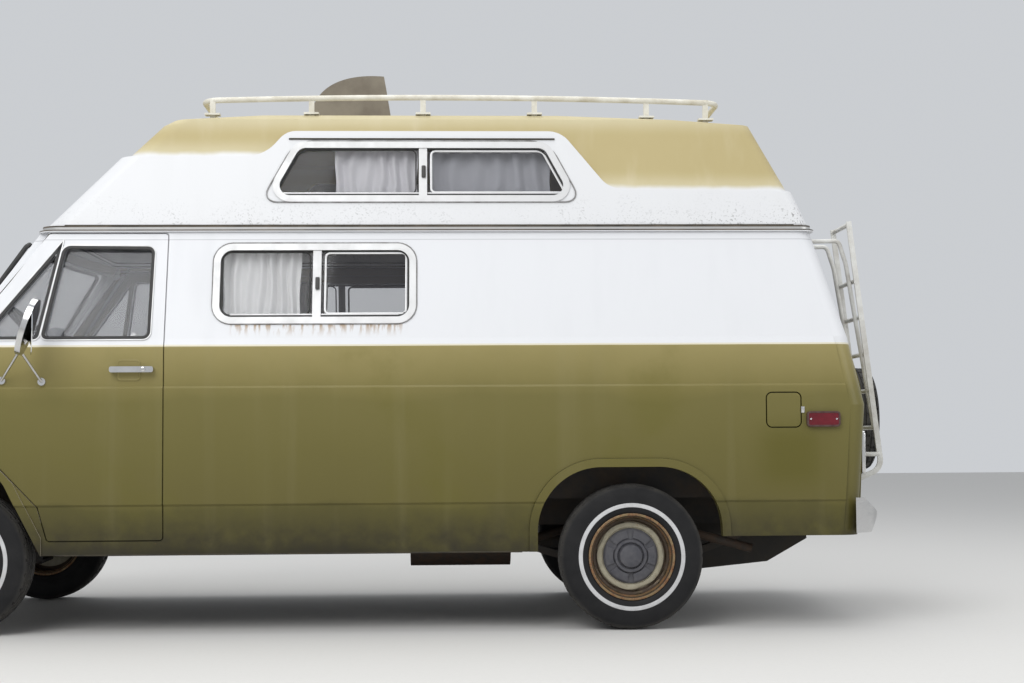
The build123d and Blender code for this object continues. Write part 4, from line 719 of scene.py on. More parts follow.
# Wheels: rim, cream disc and grey hub cover
rimLook = {"steps": 96, "cream": (0.36, 0.33, 0.24),
           # the knocked edge: radii between which it lies, and how far out it starts
           "edge": (0.150, 0.168), "edgeFace": 0.02}
rimPaint, tree, shader, coordinates = newMaterial("rimPaint", rimLook["cream"], 0.5)
split = put(tree, "SeparateXYZ", {0: coordinates.outputs["UV"]})
radius = split.outputs[0]
place = coordinates.outputs["Object"]
bloom = rustBloom(tree, place, 26.0, 0.42, 0.58)
pocks = rustBloom(tree, place, 90.0, 0.62, 0.66)
flange = spread(tree, radius, 0.158, 0.164)
gold = blendColour(tree, bloom.outputs["Mask"], (0.30, 0.215, 0.115), bloom.outputs["Colour"])
worn = blendColour(tree, pocks.outputs["Mask"], rimLook["cream"], pocks.outputs["Colour"])
colour = blendColour(tree, flange, worn, gold)
# near-black bands in the rim well and at the bead seat: painted shade in the gaps
well = within(tree, radius, (0.158, 0.163), (0.181, 0.186))
seat = within(tree, radius, (0.187, 0.190), (0.193, 0.196))
colour = blendColour(tree, times(tree, maths(tree, "MAXIMUM", well, seat), 0.88), colour,
                     (0.016, 0.011, 0.007))
grime = spotMask(tree, place, 40.0, 0.35, 0.75, 8.0)
colour = blendColour(tree, times(tree, grime, 0.35), colour, (0.07, 0.055, 0.04))
feed(shader, "Base Color", colour)
feed(shader, "Roughness", spread(tree, bloom.outputs["Mask"], 0, 1, 0.32, 0.75))
feed(shader, "Metallic", times(tree, maths(tree, "SUBTRACT", 1.0, bloom.outputs["Mask"]),
                               times(tree, flange, 0.75)))
grainSkin(tree, shader, place, 180.0, 0.35, 0.001)

rimProfile = [(0.0870, 0.1945), (0.0880, 0.2000), (0.0900, 0.2045), (0.0935, 0.2050), (0.0948, 0.2020),
              (0.0945, 0.1960), (0.0925, 0.1910), (0.0840, 0.1870), (0.0600, 0.1850), (0.0520, 0.1800),
              (0.0500, 0.1740), (0.0470, 0.1700), (0.0300, 0.1690), (0.0240, 0.1660), (0.0235, 0.1600),
              (0.0300, 0.1580), (0.0320, 0.1480), (0.0290, 0.1380), (0.0230, 0.1335), (0.0200, 0.0600),
              (0.0200, 0.0215), (-0.0200, 0.0215), (-0.0200, 0.0600), (0.0080, 0.0600), (0.0080, 0.1600),
              (0.0120, 0.1840), (-0.0880, 0.1850), (-0.0930, 0.1900), (-0.0945, 0.2030), (-0.0930, 0.2050),
              (-0.0900, 0.2045), (-0.0870, 0.1945)]
rim = turned("rimMaster", rimProfile, rimLook["steps"], rimPaint)
# the disc's edge has been knocked out of true
for vertex in rim.data.vertices:
    radius = math.hypot(vertex.co.x, vertex.co.z)
    if rimLook["edge"][0] < radius < rimLook["edge"][1] and vertex.co.y < -rimLook["edgeFace"]:
        turn = math.atan2(vertex.co.x, vertex.co.z)
        grown = 1 + 0.016 * math.sin(5 * turn + 0.6) + 0.010 * math.sin(8 * turn)
        vertex.co.x *= grown
        vertex.co.z *= grown
sectionMap(rim)

coverLook = {"steps": 96, "segments": 6, "gap": 7.5, "segmentRadii": (0.086, 0.124), "segmentFace": 0.025}
coverProfile = [(0.0200, 0.1310), (0.0255, 0.1315), (0.0290, 0.1290), (0.0310, 0.1230), (0.0315, 0.1180),
                (0.0330, 0.1020), (0.0345, 0.0850), (0.0360, 0.0815), (0.0430, 0.0790), (0.0470, 0.0760),
                (0.0475, 0.0660), (0.0445, 0.0620), (0.0390, 0.0600), (0.0400, 0.0575), (0.0500, 0.0560),
                (0.0560, 0.0520), (0.0590, 0.0400), (0.0605, 0.0200), (0.0610, 0.0), (0.0225, 0.0),
                (0.0225, 0.1100)]
hubCover = turned("hubCoverMaster", coverProfile, coverLook["steps"], hubPlastic)
openMesh(hubCover)


def inSegment(centre, normal):
    radius = math.hypot(centre.x, centre.z)
    pitch = 360 / coverLook["segments"]
    turn = math.degrees(math.atan2(centre.x, centre.z)) % pitch
    inner, outer = coverLook["segmentRadii"]
    return (inner < radius < outer and centre.y < -coverLook["segmentFace"]
            and coverLook["gap"] < turn < pitch - coverLook["gap"])


pickFaces(inSegment)
bpy.ops.mesh.extrude_region_move(TRANSFORM_OT_translate={"value": (0, -0.007, 0)})
bpy.ops.mesh.inset(thickness=0.003, depth=0.001)
closeMesh()
smooth(hubCover, 30)

wheelPlaces = [("front_left", (frontAxle, -hubSide), 0), ("front_right", (frontAxle, hubSide), 180),
               ("rear_left", (rearAxle, -hubSide), 37), ("rear_right", (rearAxle, hubSide), 180)]
for label, (x, y), turn in wheelPlaces:
    facing = Matrix.Rotation(math.pi if y > 0 else 0, 4, "Z")
    matrix = Matrix.Translation((x, y, hubHeight)) @ facing @ Matrix.Rotation(math.radians(turn), 4, "Y")
    body = f"wheel_{label}"
    piece = copied(tyre, f"tyre_dressed_{label}", matrix)
    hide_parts(f"tyre_{label}")
    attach(piece, body)
    piece = copied(rim, f"rim_{label}", matrix)
    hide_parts(f"wheel_{label}")
    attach(piece, body)
    matrix = Matrix.Translation((x, y, hubHeight)) @ facing
    piece = copied(hubCover, f"hub_cover_{label}", matrix)
    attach(piece, body)
# tyre and rim say how large the spare's radii are, and width how wide it is, beside a road wheel's
spareLook = {"place": (rearAxle + 1.402, 0.372, 1.005), "tyre": 285 / 345, "rim": 160 / 195, "width": 0.9}
spareStand = Matrix.Translation(spareLook["place"]) @ Matrix.Rotation(math.pi / 2, 4, "Z")
for master, label, node, share, slot in (
        (tyre, "spare_tyre_dressed", "spare_tyre", spareLook["tyre"], "tyre_rubber"),
        (rim, "spare_rim", "spare_wheel", spareLook["rim"], "rim_paint")):
    piece = copied(master, label, spareStand @ Matrix.Diagonal((share, spareLook["width"], share, 1)))
    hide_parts(node)
    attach(piece, "rear_door_right")
for master in (tyre, rim, hubCover):
    bpy.data.objects.remove(master)
print("wheels ready")

# Where the walls are
wallShape = {
    # height and half width, from the sill up to the drip rail and from there up the high top
    "body": [(0.374, 0.985), (0.600, 1.000), (0.610, 1.008), (1.060, 1.009), (1.152, 1.010), (1.162, 1.003),
             (1.345, 1.003), (1.386, 0.991), (1.907, 0.872)],
    "top": [(1.937, 0.860), (2.290, 0.797), (2.450, 0.7685)],
}


def onRows(rows, z):
    # the value at height z, from rows of (height, value) joined by straight lines
    for (lowZ, low), (highZ, high) in zip(rows, rows[1:]):
        if z <= highZ:
            break
    return low + (z - lowZ) / (highZ - lowZ) * (high - low)


def wallAt(kind, z):
    return onRows(wallShape[kind], z)


def onWall(kind, side, x, z, out=0.0):
    # a point on the van's side; x is counted from the rear axle
    return Vector((rearAxle + x, side * (wallAt(kind, z) + out), z))


def grown(points, amount):
    # a convex outline with each edge moved outward
    centre = sum((Vector(point) for point in points), Vector((0, 0))) / len(points)
    lines = []
    for first, second in zip(points, points[1:] + points[:1]):
        run = (Vector(second) - Vector(first)).normalized()
        normal = Vector((run.y, -run.x))
        if normal.dot(Vector(first) - centre) < 0:
            normal = -normal
        lines.append((Vector(first) + normal * amount, run))
    corners = []
    for (start, run), (other, otherRun) in zip(lines[-1:] + lines[:-1], lines):
        share = (other - start).cross(otherRun) / run.cross(otherRun)
        corners.append(start + run * share)
    return corners


def wallRing(name, kind, side, outline, radius, grow, width, depth, out, finish, body="body"):
    # a trim ring round a window or lamp, following the wall
    corners = [onWall(kind, side, x, z, out) for x, z in grown(outline, grow)]
    piece = ring(name, corners, max(0.001, radius + grow), width, depth, (0, side, 0), finish,
                 edge=min(0.001, depth / 4))
    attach(piece, body)
    return piece


def wallPad(name, kind, side, outline, radius, depth, out, finish, body="body", lip=0.0):
    # a low plate on the wall, dished when lip is set
    corners = [onWall(kind, side, x, z, out) for x, z in outline]
    piece = plate(name, corners, radius, (0, side, 0), finish)
    openMesh(piece)
    bpy.ops.mesh.extrude_region_move(TRANSFORM_OT_translate={"value": (0, side * depth, 0)})
    if lip:
        bpy.ops.mesh.inset(thickness=lip, depth=0)
        bpy.ops.mesh.inset(thickness=0.004, depth=-0.8 * depth)
    closeMesh()
    pointOut(piece)
    roundEdges(piece, min(0.0015, abs(depth) / 4), 2)
    smooth(piece)
    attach(piece, body)
    return piece


def rectangle(x, z, width, height):
    return [(x - width / 2, z - height / 2), (x + width / 2, z - height / 2),
            (x + width / 2, z + height / 2), (x - width / 2, z + height / 2)]


def bead(name, points, radius, finish, closed=True, sides=2):
    # a round bead along points
    bpy.ops.mesh.primitive_circle_add(vertices=len(points))
    piece = named(name, finish)
    for vertex, point in zip(piece.data.vertices, points):
        vertex.co = point
    if not closed:
        openMesh(piece)
        bpy.ops.mesh.select_all(action="DESELECT")
        bpy.ops.mesh.select_mode(type="EDGE")
        mesh = bmesh.from_edit_mesh(piece.data)
        mesh.edges.ensure_lookup_table()
        for edge in mesh.edges:
            if {vertex.index for vertex in edge.verts} == {0, len(points) - 1}:
                edge.select_set(True)
        bmesh.update_edit_mesh(piece.data)
        bpy.ops.mesh.delete(type="EDGE")
        closeMesh()
    takeUp(piece)
    bpy.ops.object.convert(target="CURVE")
    bpy.context.object.data.bevel_depth = radius
    bpy.context.object.data.bevel_resolution = sides
    bpy.context.object.data.use_fill_caps = True
    bpy.ops.object.convert(target="MESH")
    piece = bpy.context.object
    piece.data.materials.clear()
    piece.data.materials.append(finish)
    return smooth(piece, 60)


def roundedPath(points, radius, steps=6):
    # closed 3-D outline with its corners rounded by short arcs
    path = []
    for before, corner, after in zip(points[-1:] + points[:-1], points, points[1:] + points[:1]):
        start = corner + (before - corner).normalized() * radius
        end = corner + (after - corner).normalized() * radius
        for step in range(steps + 1):
            share = step / steps
            path.append(start * (1 - share) ** 2 + corner * 2 * share * (1 - share) + end * share ** 2)
    return path


sides = {"left": -1, "right": 1}

# Windows: gaskets, seals, frames of the panes, tracks and latches
windowLook = {
    # wall, outline from the rear axle, corner radius, divider
    "camper": ("body", [(-1.953, 1.485), (-1.046, 1.485), (-1.046, 1.819), (-1.953, 1.819)], 0.062, -1.490),
    "top": ("top", [(-1.720, 2.085), (-0.262, 2.085), (-0.390, 2.332), (-1.588, 2.332)], 0.055, -0.985),
    # rings: how far the outline grows, width, depth, how far out from the wall
    "gasket": (0.034, 0.007, 0.005, 0.0), "seal": (-0.005, 0.009, 0.006, -0.0135),
    "slide": (-0.014, 0.010, 0.006, -0.0135), "fixed": (-0.010, 0.007, 0.004, -0.0135),
    "halfBar": 0.021, "paneCorner": 0.040,
}
for window in ("camper", "top"):
    kind, outline, radius, divider = windowLook[window]
    (x0, z0), (x1, _), (x2, z1), (x3, _) = outline
    barFront, barRear = divider - windowLook["halfBar"], divider + windowLook["halfBar"]
    rear = [(barRear, z0), (x1, z0), (x2, z1), (barRear, z1)]
    front = [(x0, z0), (barFront, z0), (barFront, z1), (x3, z1)]
    paneCorner = windowLook["paneCorner"]
    for sideName, side in sides.items():
        for label, path, corner, finish in (("gasket", outline, radius, sealantGrey),
                                            ("seal", outline, radius, blackRubber),
                                            ("slide", rear, paneCorner, windowAlloy),
                                            ("fixed", front, paneCorner, blackRubber)):
            wallRing(f"{window}_{label}_{sideName}", kind, side, path, corner, *windowLook[label], finish)
        track = rectangle((x0 + x1) / 2, z0 + 0.016, x1 - x0 - 0.11, 0.007)
        wallPad(f"{window}_track_{sideName}", kind, side, track, 0.002, 0.004, -0.008, windowAlloy)
        latch = rectangle(divider + 0.003, (z0 + z1) / 2, 0.020, 0.060)
        wallPad(f"{window}_latch_{sideName}", kind, side, latch, 0.005, 0.010, 0.002, darkPlastic)
        if window == "top":
            start, end = (onWall(kind, side, x, z1 + 0.042, 0.004) for x in (x2 + 0.05, x3 - 0.05))
            piece = bead(f"top_lip_{sideName}", [start, (start + end) / 2, end], 0.004, gasketDirt,
                         closed=False)
            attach(piece, "body")
print("windows ready")

# Cab doors: glass seals, handle dish and button, mirror glass, hinge barrels, inner trim
doorLook = {
    "window": [(-2.276, 1.393), (-2.271, 1.824), (-2.690, 1.828), (-2.768, 1.393)],
    "vent": [(-2.796, 1.393), (-2.716, 1.824), (-3.046, 1.393)],
    "dish": (-2.363, 1.238, 0.112, 0.100), "button": (-2.290, 1.241, 0.011),
    "mirror": (-2.790, 1.175, 1.432), "mirrorTurn": 18.0, "mirrorSize": (0.071, 0.128),
    "hinge": (-3.153, 1.012), "hingeHeights": (1.04, 1.20), "hingeEnds": (-0.045, 0.045),
    "inner": -0.0575, "trim": (-2.60, 0.86, 0.62, 0.48), "armrest": (0.885, 0.945),
    "winder": (-2.86, 0.95),
    # rings: how far the outline grows, width, depth, how far out from the wall
    "seal": (0.010, 0.016, 0.007, -0.003), "bright": (0.015, 0.006, 0.005, 0.0),
}
for sideName, side in sides.items():
    door = f"cab_door_{sideName}"
    for label, radius in (("window", 0.026), ("vent", 0.012)):
        for part, finish in (("seal", blackRubber), ("bright", windowAlloy)):
            wallRing(f"door_{label}_{part}_{sideName}", "body", side, doorLook[label], radius,
                     *doorLook[part], finish, door)
    wallPad(f"handle_dish_{sideName}", "body", side, rectangle(*doorLook["dish"]), 0.018, 0.003, 0.0,
            sidePaint, door, lip=0.006)
    x, z, radius = doorLook["button"]
    start, end = (onWall("body", side, x, z, out) for out in (0.030, 0.040))
    piece = rod(f"handle_button_{sideName}", start, end, radius, chrome, edge=0.002)
    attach(piece, door)
    x, y, z = doorLook["mirror"]
    bpy.ops.mesh.primitive_circle_add(vertices=56, radius=1, fill_type="NGON")
    piece = named(f"mirror_glass_{sideName}", mirrorGlass)
    openMesh(piece)
    bpy.ops.mesh.extrude_region_move(TRANSFORM_OT_translate={"value": (0, 0, 0.004)})
    bpy.ops.mesh.inset(thickness=0.03, depth=0.0006)
    closeMesh()
    width, height = doorLook["mirrorSize"]
    turn = Matrix.Rotation(math.radians(doorLook["mirrorTurn"]) * -side, 4, "Z")
    stand = Matrix(((0, 0, 1, 0), (1, 0, 0, 0), (0, 1, 0, 0), (0, 0, 0, 1)))
    size = Matrix.Diagonal((width, height, 1, 1))
    piece.data.transform(Matrix.Translation((rearAxle + x, side * y, z)) @ turn
                         @ Matrix.Translation((0.0128, 0, 0)) @ stand @ size)
    pointOut(piece)
    smooth(piece, 30)
    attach(piece, door)
    x, y = doorLook["hinge"]
    for z in doorLook["hingeHeights"]:
        start, end = ((rearAxle + x, side * y, z + half) for half in doorLook["hingeEnds"])
        piece = rod(f"door_hinge_{sideName}_{round(z * 100)}", start, end, 0.007, chassisPaint, edge=0.002)
        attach(piece, "body")
    # inner side: trim board, armrest and window winder
    wallPad(f"door_trim_{sideName}", "body", side, rectangle(*doorLook["trim"]), 0.04, -0.004,
            doorLook["inner"], darkPlastic, door)
    low, high = sorted(side * y for y in doorLook["armrest"])
    piece = block(f"armrest_{sideName}", (rearAxle - 2.72, low, 0.985), (rearAxle - 2.42, high, 1.035),
                  darkPlastic, edge=0.014, segments=3)
    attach(piece, door)
    x, z = doorLook["winder"]
    start, end = ((rearAxle + x, side * y, z) for y in (0.950, 0.915))
    piece = rod(f"window_winder_{sideName}", start, end, 0.020, chrome, edge=0.004)
    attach(piece, door)
print("cab doors ready")

# Lamps: rims, bezels and lenses
lampLook = {"marker": (0.914, 0.991, 0.148, 0.062), "screw": 0.062, "tail": (0.861, 0.830), "tailFace": 1.132,
            "tailRim": (0.082, 0.210), "tailLens": (0.052, 0.048), "head": (0.715, 0.872), "nose": -3.868,
            "steps": 64}


def atBack(x, outline):
    # an outline of (across, up) points on a plane that faces backward
    return [Vector((x, across, up)) for across, up in outline]


for sideName, side in sides.items():
    x, z, width, height = lampLook["marker"]
    wallRing(f"marker_rim_{sideName}", "body", side, rectangle(x, z, width, height), 0.010, 0.006, 0.009,
             0.0205, -0.001, rimDark)
    for dx in (-lampLook["screw"], lampLook["screw"]):
        spot = onWall("body", side, x + dx, z, 0.017)
        piece = rod(f"marker_screw_{sideName}_{'rear' if dx > 0 else 'front'}", spot,
                    spot + Vector((0, side * 0.003, 0)), 0.0045, chrome, sides=12, edge=0.0008)
        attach(piece, "body")
    y, z = lampLook["tail"]
    tailX = rearAxle + lampLook["tailFace"]
    corners = atBack(tailX - 0.006, rectangle(side * y, z, *lampLook["tailRim"]))
    piece = ring(f"tail_lamp_rim_{sideName}", corners, 0.020, 0.012, 0.017, (1, 0, 0), chrome)
    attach(piece, "body")
    for share, finish in ((-0.055, lampClear), (0.055, lampAmber)):
        corners = atBack(tailX + 0.0075, rectangle(side * y, z + share, *lampLook["tailLens"]))
        piece = plate(f"tail_lens_{'low' if share < 0 else 'high'}_{sideName}", corners, 0.006, (1, 0, 0),
                      finish)
        modify(piece, "SOLIDIFY", thickness=0.003, offset=1)
        roundEdges(piece, 0.001)
        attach(piece, "body")
bezelProfile = [(0.0, 0.112), (0.012, 0.110), (0.020, 0.104), (0.022, 0.098), (0.018, 0.094), (0.0, 0.0935)]
lensProfile = [(0.016, 0.0925), (0.024, 0.086), (0.031, 0.070), (0.035, 0.045), (0.037, 0.020), (0.0375, 0.0),
               (0.012, 0.0), (0.012, 0.0925)]
bezel = turned("bezelMaster", bezelProfile, lampLook["steps"], chrome)
lens = turned("lensMaster", lensProfile, lampLook["steps"], lampClear)
for sideName, side in sides.items():
    y, z = lampLook["head"]
    matrix = (Matrix.Translation((rearAxle + lampLook["nose"] + 0.022, side * y, z))
              @ Matrix.Rotation(-math.pi / 2, 4, "Z"))
    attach(copied(bezel, f"head_lamp_bezel_{sideName}", matrix), "body")
    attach(copied(lens, f"head_lamp_lens_{sideName}", matrix), "body")
for master in (bezel, lens):
    bpy.data.objects.remove(master)
print("lamps ready")

# Rear doors: glass seals, hinges, handle, blank plate and its lamp
rearLook = {"pane": [(0.090, 1.420), (0.700, 1.420), (0.660, 1.800), (0.090, 1.800)],
            "hinges": (0.78, 1.02, 1.27), "hingeSide": 0.803, "leaf": (0.735, 0.795),
            "handle": 1.04, "plate": 0.80,
            # height, and how far behind the rear axle the rear face stands there
            "face": [(0.605, 1.112), (1.060, 1.132), (1.152, 1.118), (1.162, 1.116), (1.386, 1.058),
                     (1.907, 0.910)]}


def rearFace(z):
    return rearAxle + onRows(rearLook["face"], z)


for sideName, side in sides.items():
    door = f"rear_door_{sideName}"
    corners = [Vector((rearFace(z) + 0.001, side * y, z)) for y, z in rearLook["pane"]]
    path = roundedPath(corners, 0.05)
    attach(bead(f"rear_glass_seal_{sideName}", path, 0.010, blackRubber), door)
    for z in rearLook["hinges"]:
        x = rearFace(z) + 0.004
        y = side * rearLook["hingeSide"]
        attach(rod(f"rear_hinge_{sideName}_{round(z * 100)}", (x, y, z - 0.04), (x, y, z + 0.04), 0.009,
                    endPaint, edge=0.002), "body")
        low, high = sorted(side * y for y in rearLook["leaf"])
        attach(block(f"rear_hinge_leaf_{sideName}_{round(z * 100)}", (x - 0.008, low, z - 0.026),
                      (x + 0.002, high, z + 0.026), endPaint, edge=0.002), door)
x = rearFace(rearLook["handle"])
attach(block("rear_handle", (x + 0.018, 0.040, 1.028), (x + 0.034, 0.200, 1.052), chrome, edge=0.006,
              segments=3), "rear_door_right")
for y in (0.058, 0.182):
    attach(rod(f"rear_handle_foot_{round(y * 1000)}", (x - 0.002, y, 1.04), (x + 0.022, y, 1.04), 0.012,
                chrome), "rear_door_right")
x = rearFace(rearLook["plate"])
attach(block("blank_plate", (x + 0.001, -0.42, 0.72), (x + 0.007, -0.115, 0.872), windowAlloy, edge=0.002),
        "rear_door_left")
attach(rod("plate_lamp", (x + 0.004, -0.30, 0.892), (x + 0.004, -0.235, 0.892), 0.010, chrome, edge=0.003),
        "rear_door_left")
print("rear doors ready")

# Windscreen: seal and wipers
screenLook = {"outline": [(-0.885, 1.414), (0.885, 1.414), (0.790, 1.862), (-0.790, 1.862)],
              "bowRadius": 4.037, "foot": (-3.291, 1.386), "head": (-2.932, 1.907)}


def screenPoint(y, z, out=0.0):
    (footX, footZ), (headX, headZ) = screenLook["foot"], screenLook["head"]
    bow = screenLook["bowRadius"] - math.sqrt(screenLook["bowRadius"] ** 2 - y * y)
    return Vector((rearAxle + footX + (z - footZ) / (headZ - footZ) * (headX - footX) + bow - out, y, z))


def screenPath(outline, steps):
    path = []
    for (y0, z0), (y1, z1) in zip(outline, outline[1:] + outline[:1]):
        for step in range(steps):
            share = (step + 0.5) / steps
            path.append(screenPoint(y0 + (y1 - y0) * share, z0 + (z1 - z0) * share, 0.002))
    return path


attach(bead("windscreen_seal", screenPath(screenLook["outline"], 14), 0.012, blackRubber), "body")
for label, pivot, tip in (("left", -0.62, -0.02), ("right", 0.10, 0.70)):
    arm = [screenPoint(pivot, 1.395, 0.030), screenPoint(pivot + 0.12, 1.425, 0.034),
           screenPoint(tip - 0.18, 1.462, 0.022)]
    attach(bead(f"wiper_arm_{label}", arm, 0.005, darkPlastic, closed=False), "body")
    blade = [screenPoint(tip - 0.42 + 0.105 * step, 1.440 + 0.012 * step, 0.010) for step in range(5)]
    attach(bead(f"wiper_blade_{label}", blade, 0.006, blackRubber, closed=False), "body")
    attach(rod(f"wiper_pivot_{label}", screenPoint(pivot, 1.385, 0.0), screenPoint(pivot, 1.395, 0.036),
                0.014, chrome, edge=0.003), "body")
print("windscreen ready")

# Roof vent: louvres, back board and sealant
ventLook = {"x": -1.370, "base": 2.533, "half": 0.178, "slats": 6}
x = rearAxle + ventLook["x"] + 0.150
half = ventLook["half"] - 0.002
base = ventLook["base"]
for count in range(ventLook["slats"]):
    z = base + 0.045 + count * 0.036
    piece = block(f"vent_slat_{count}", (x - 0.016, -half, z), (x + 0.016, half, z + 0.004), ventPlastic,
                  edge=0.0015)
    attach(piece, "body")
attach(block("vent_back", (x - 0.060, -half, base + 0.03), (x - 0.054, half, base + 0.26), darkPlastic,
              edge=0.002), "body")
flange = [Vector((rearAxle + ventLook["x"] + dx, dy, base + 0.003)) for dx, dy in
          ((-0.220, -0.200), (0.232, -0.200), (0.232, 0.200), (-0.220, 0.200))]
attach(bead("vent_sealant", roundedPath(flange, 0.02), 0.007, gasketDirt), "body")
print("vent ready")

# Curtains, gathered on rods behind the windows
curtainLook = {
    # wall, front end, rear end, low, high, folds, fold depth, colour, opacity
    "camper": ("body", -1.944, -1.573, 1.492, 1.824, 7, 0.020, (0.80, 0.80, 0.80), 1.0),
    "front": ("top", -1.414, -1.013, 2.092, 2.330, 6, 0.016, (0.74, 0.73, 0.76), 1.0),
    "rear": ("top", -0.955, -0.360, 2.092, 2.322, 6, 0.014, (0.46, 0.465, 0.50), 0.85),
    "behindWall": 0.070,
}


def curtainCloth(name, colour, alpha):
    material, tree, shader, coordinates = newMaterial(name, colour, 0.9, Sheen_Weight=0.25)
    place = coordinates.outputs["UV"]
    threads = useGroup(tree, weave, {"Place": place, "Threads": 420.0, "Strength": 0.35})
    soil = spotMask(tree, coordinates.outputs["Object"], 9.0, 0.4, 0.8, 6.0)
    shade = blendColour(tree, times(tree, soil, 0.25), colour,
                        tuple(value * 0.78 for value in colour))
    shade = blendColour(tree, spread(tree, threads.outputs["Shade"], 0.2, 0.9, 0.10, 0.0), shade,
                        (0.30, 0.30, 0.31))
    feed(shader, "Base Color", shade)
    feed(shader, "Normal", threads.outputs["Normal"])
    shader.inputs["Alpha"].default_value = alpha
    return material


for label in ("camper", "front", "rear"):
    kind, x0, x1, z0, z1, folds, depth, colour, alpha = curtainLook[label]
    finish = curtainCloth(f"{label}CurtainCloth", colour, alpha)
    for sideName, side in sides.items():
        rail = curtainLook["behindWall"]
        piece = rod(f"curtain_rod_{label}_{sideName}", onWall(kind, side, x0 - 0.02, z1 - 0.004, -rail),
                    onWall(kind, side, x1 + 0.02, z1 - 0.004, -rail), 0.004, windowAlloy, sides=12)
        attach(piece, "body")
        bpy.ops.mesh.primitive_grid_add(x_subdivisions=folds * 12, y_subdivisions=22, size=1)
        cloth = named(f"curtain_{label}_{sideName}", finish)
        for vertex in cloth.data.vertices:
            u, v = vertex.co.x + 0.5, vertex.co.y + 0.5
            sway = 0.5 * math.sin(2.6 * v + 5 * u) + 0.3 * math.sin(7.0 * u + 1.0)
            fold = depth * math.sin(math.tau * folds * u + sway) * (0.75 + 0.25 * math.cos(9 * u))
            scallop = 0.006 * abs(math.sin(math.pi * folds * u)) * v ** 6
            vertex.co = onWall(kind, side, x0 + u * (x1 - x0) + 0.004 * math.sin(6 * v + 9 * u),
                               z0 + v * (z1 - z0) - scallop, fold - rail)
        settle(cloth)
        area = sum(face.area for face in cloth.data.polygons)
        drop = math.hypot(z1 - z0, wallAt(kind, z0) - wallAt(kind, z1))
        for loop in cloth.data.uv_layers[0].data:
            loop.uv = (loop.uv[0] * area / drop, loop.uv[1] * drop)
        modify(cloth, "SOLIDIFY", thickness=0.0008, offset=0)
        smooth(cloth, 60)
        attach(cloth, "body")
        if label == "camper" and side < 0:
            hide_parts("curtains")
        print("curtain", label, sideName, round(area / drop, 3), round(drop, 3))
print("curtains ready")

# Seats and bed: padded pieces, blown up a little by a cloth simulation
clothLook = {"pressure": 4.0, "frames": 20, "seatColour": (0.150, 0.105, 0.062),
             "bedColour": (0.300, 0.270, 0.200)}


def seatCloth(name, colour):
    material, tree, shader, coordinates = newMaterial(name, colour, 0.9, Sheen_Weight=0.3)
    place = coordinates.outputs["Object"]
    threads = useGroup(tree, grain, {"Place": place, "Size": 520.0, "Strength": 0.5, "Depth": 0.001})
    stripe = put(tree, "TexWave", {"Vector": place, "Scale": 18.0, "Distortion": 0.4},
                 bands_direction="Y").outputs[1]
    wear = spotMask(tree, place, 6.0, 0.4, 0.75, 6.0)
    shade = blendColour(tree, spread(tree, stripe, 0.55, 0.75, 0, 0.5), colour,
                        tuple(v * 0.55 for v in colour))
    shade = blendColour(tree, times(tree, wear, 0.4), shade, tuple(min(1.0, v * 1.5) for v in colour))
    shade = blendColour(tree, spread(tree, threads.outputs["Shade"], 0.3, 0.7, 0.25, 0), shade,
                        (0.05, 0.04, 0.03))
    feed(shader, "Base Color", shade)
    feed(shader, "Normal", threads.outputs["Normal"])
    return material


seatFabric = seatCloth("seatFabric", clothLook["seatColour"])
bedFabric = seatCloth("bedFabric", clothLook["bedColour"])


def stuffed(name, low, high, finish, voxel, cap, edge):
    # a block, rounded, then swollen by pressure; each point moves by no more than the cap
    piece = block(name, low, high, finish, edge=edge, segments=3)
    modify(piece, "REMESH", mode="VOXEL", voxel_size=voxel)
    still = [vertex.co.copy() for vertex in piece.data.vertices]
    cloth = piece.modifiers.new("Cloth", "CLOTH")
    cloth.settings.use_pressure = True
    cloth.settings.uniform_pressure_force = clothLook["pressure"]
    cloth.settings.effector_weights.gravity = 0
    cloth.settings.quality = 4
    for step in range(1, clothLook["frames"] + 1):
        bpy.context.scene.frame_set(step)
    swollen = piece.evaluated_get(bpy.context.evaluated_depsgraph_get()).to_mesh()
    moved = [vertex.co - start for vertex, start in zip(swollen.vertices, still)]
    piece.modifiers.remove(cloth)
    for vertex, start, shift in zip(piece.data.vertices, still, moved):
        vertex.co = start + shift * min(1.0, cap / max(shift.length, 1e-6))
    bpy.context.scene.frame_set(1)
    modify(piece, "SUBSURF", levels=1, render_levels=1)
    piece.data.materials.clear()
    piece.data.materials.append(finish)
    return piece


def sewn(piece, test, depth, reach):
    # sewn lines: points near a line, as test measures it, are drawn in along their normals
    normals = [vertex.normal.copy() for vertex in piece.data.vertices]
    for vertex, normal in zip(piece.data.vertices, normals):
        away = test(vertex.co)
        vertex.co -= normal * depth * math.exp(-(away / reach) ** 2)
    return smooth(piece, 80)


seatLook = {"y": 0.560, "half": 0.188, "cushion": (-2.800, -2.350, 0.912, 1.018), "lean": 13.0,
            "back": (-2.395, -2.305, 1.040, 1.600), "voxel": 0.009, "cap": 0.016, "edge": 0.030,
            # sewn lines: the pleated panel's half width and border, a pleat's width, where pleats start
            "panel": 0.125, "border": 0.130, "pleat": 0.11, "pleatStart": -2.74, "seamDepth": 0.006,
            "seamReach": 0.007}
seatY = seatLook["y"]
backX, _, backZ, _ = seatLook["back"]


def seatPad(name, bounds):
    x0, x1, z0, z1 = bounds
    return stuffed(name, (rearAxle + x0, -seatY - seatLook["half"], z0),
                   (rearAxle + x1, seatLook["half"] - seatY, z1), seatFabric, seatLook["voxel"],
                   seatLook["cap"], seatLook["edge"])


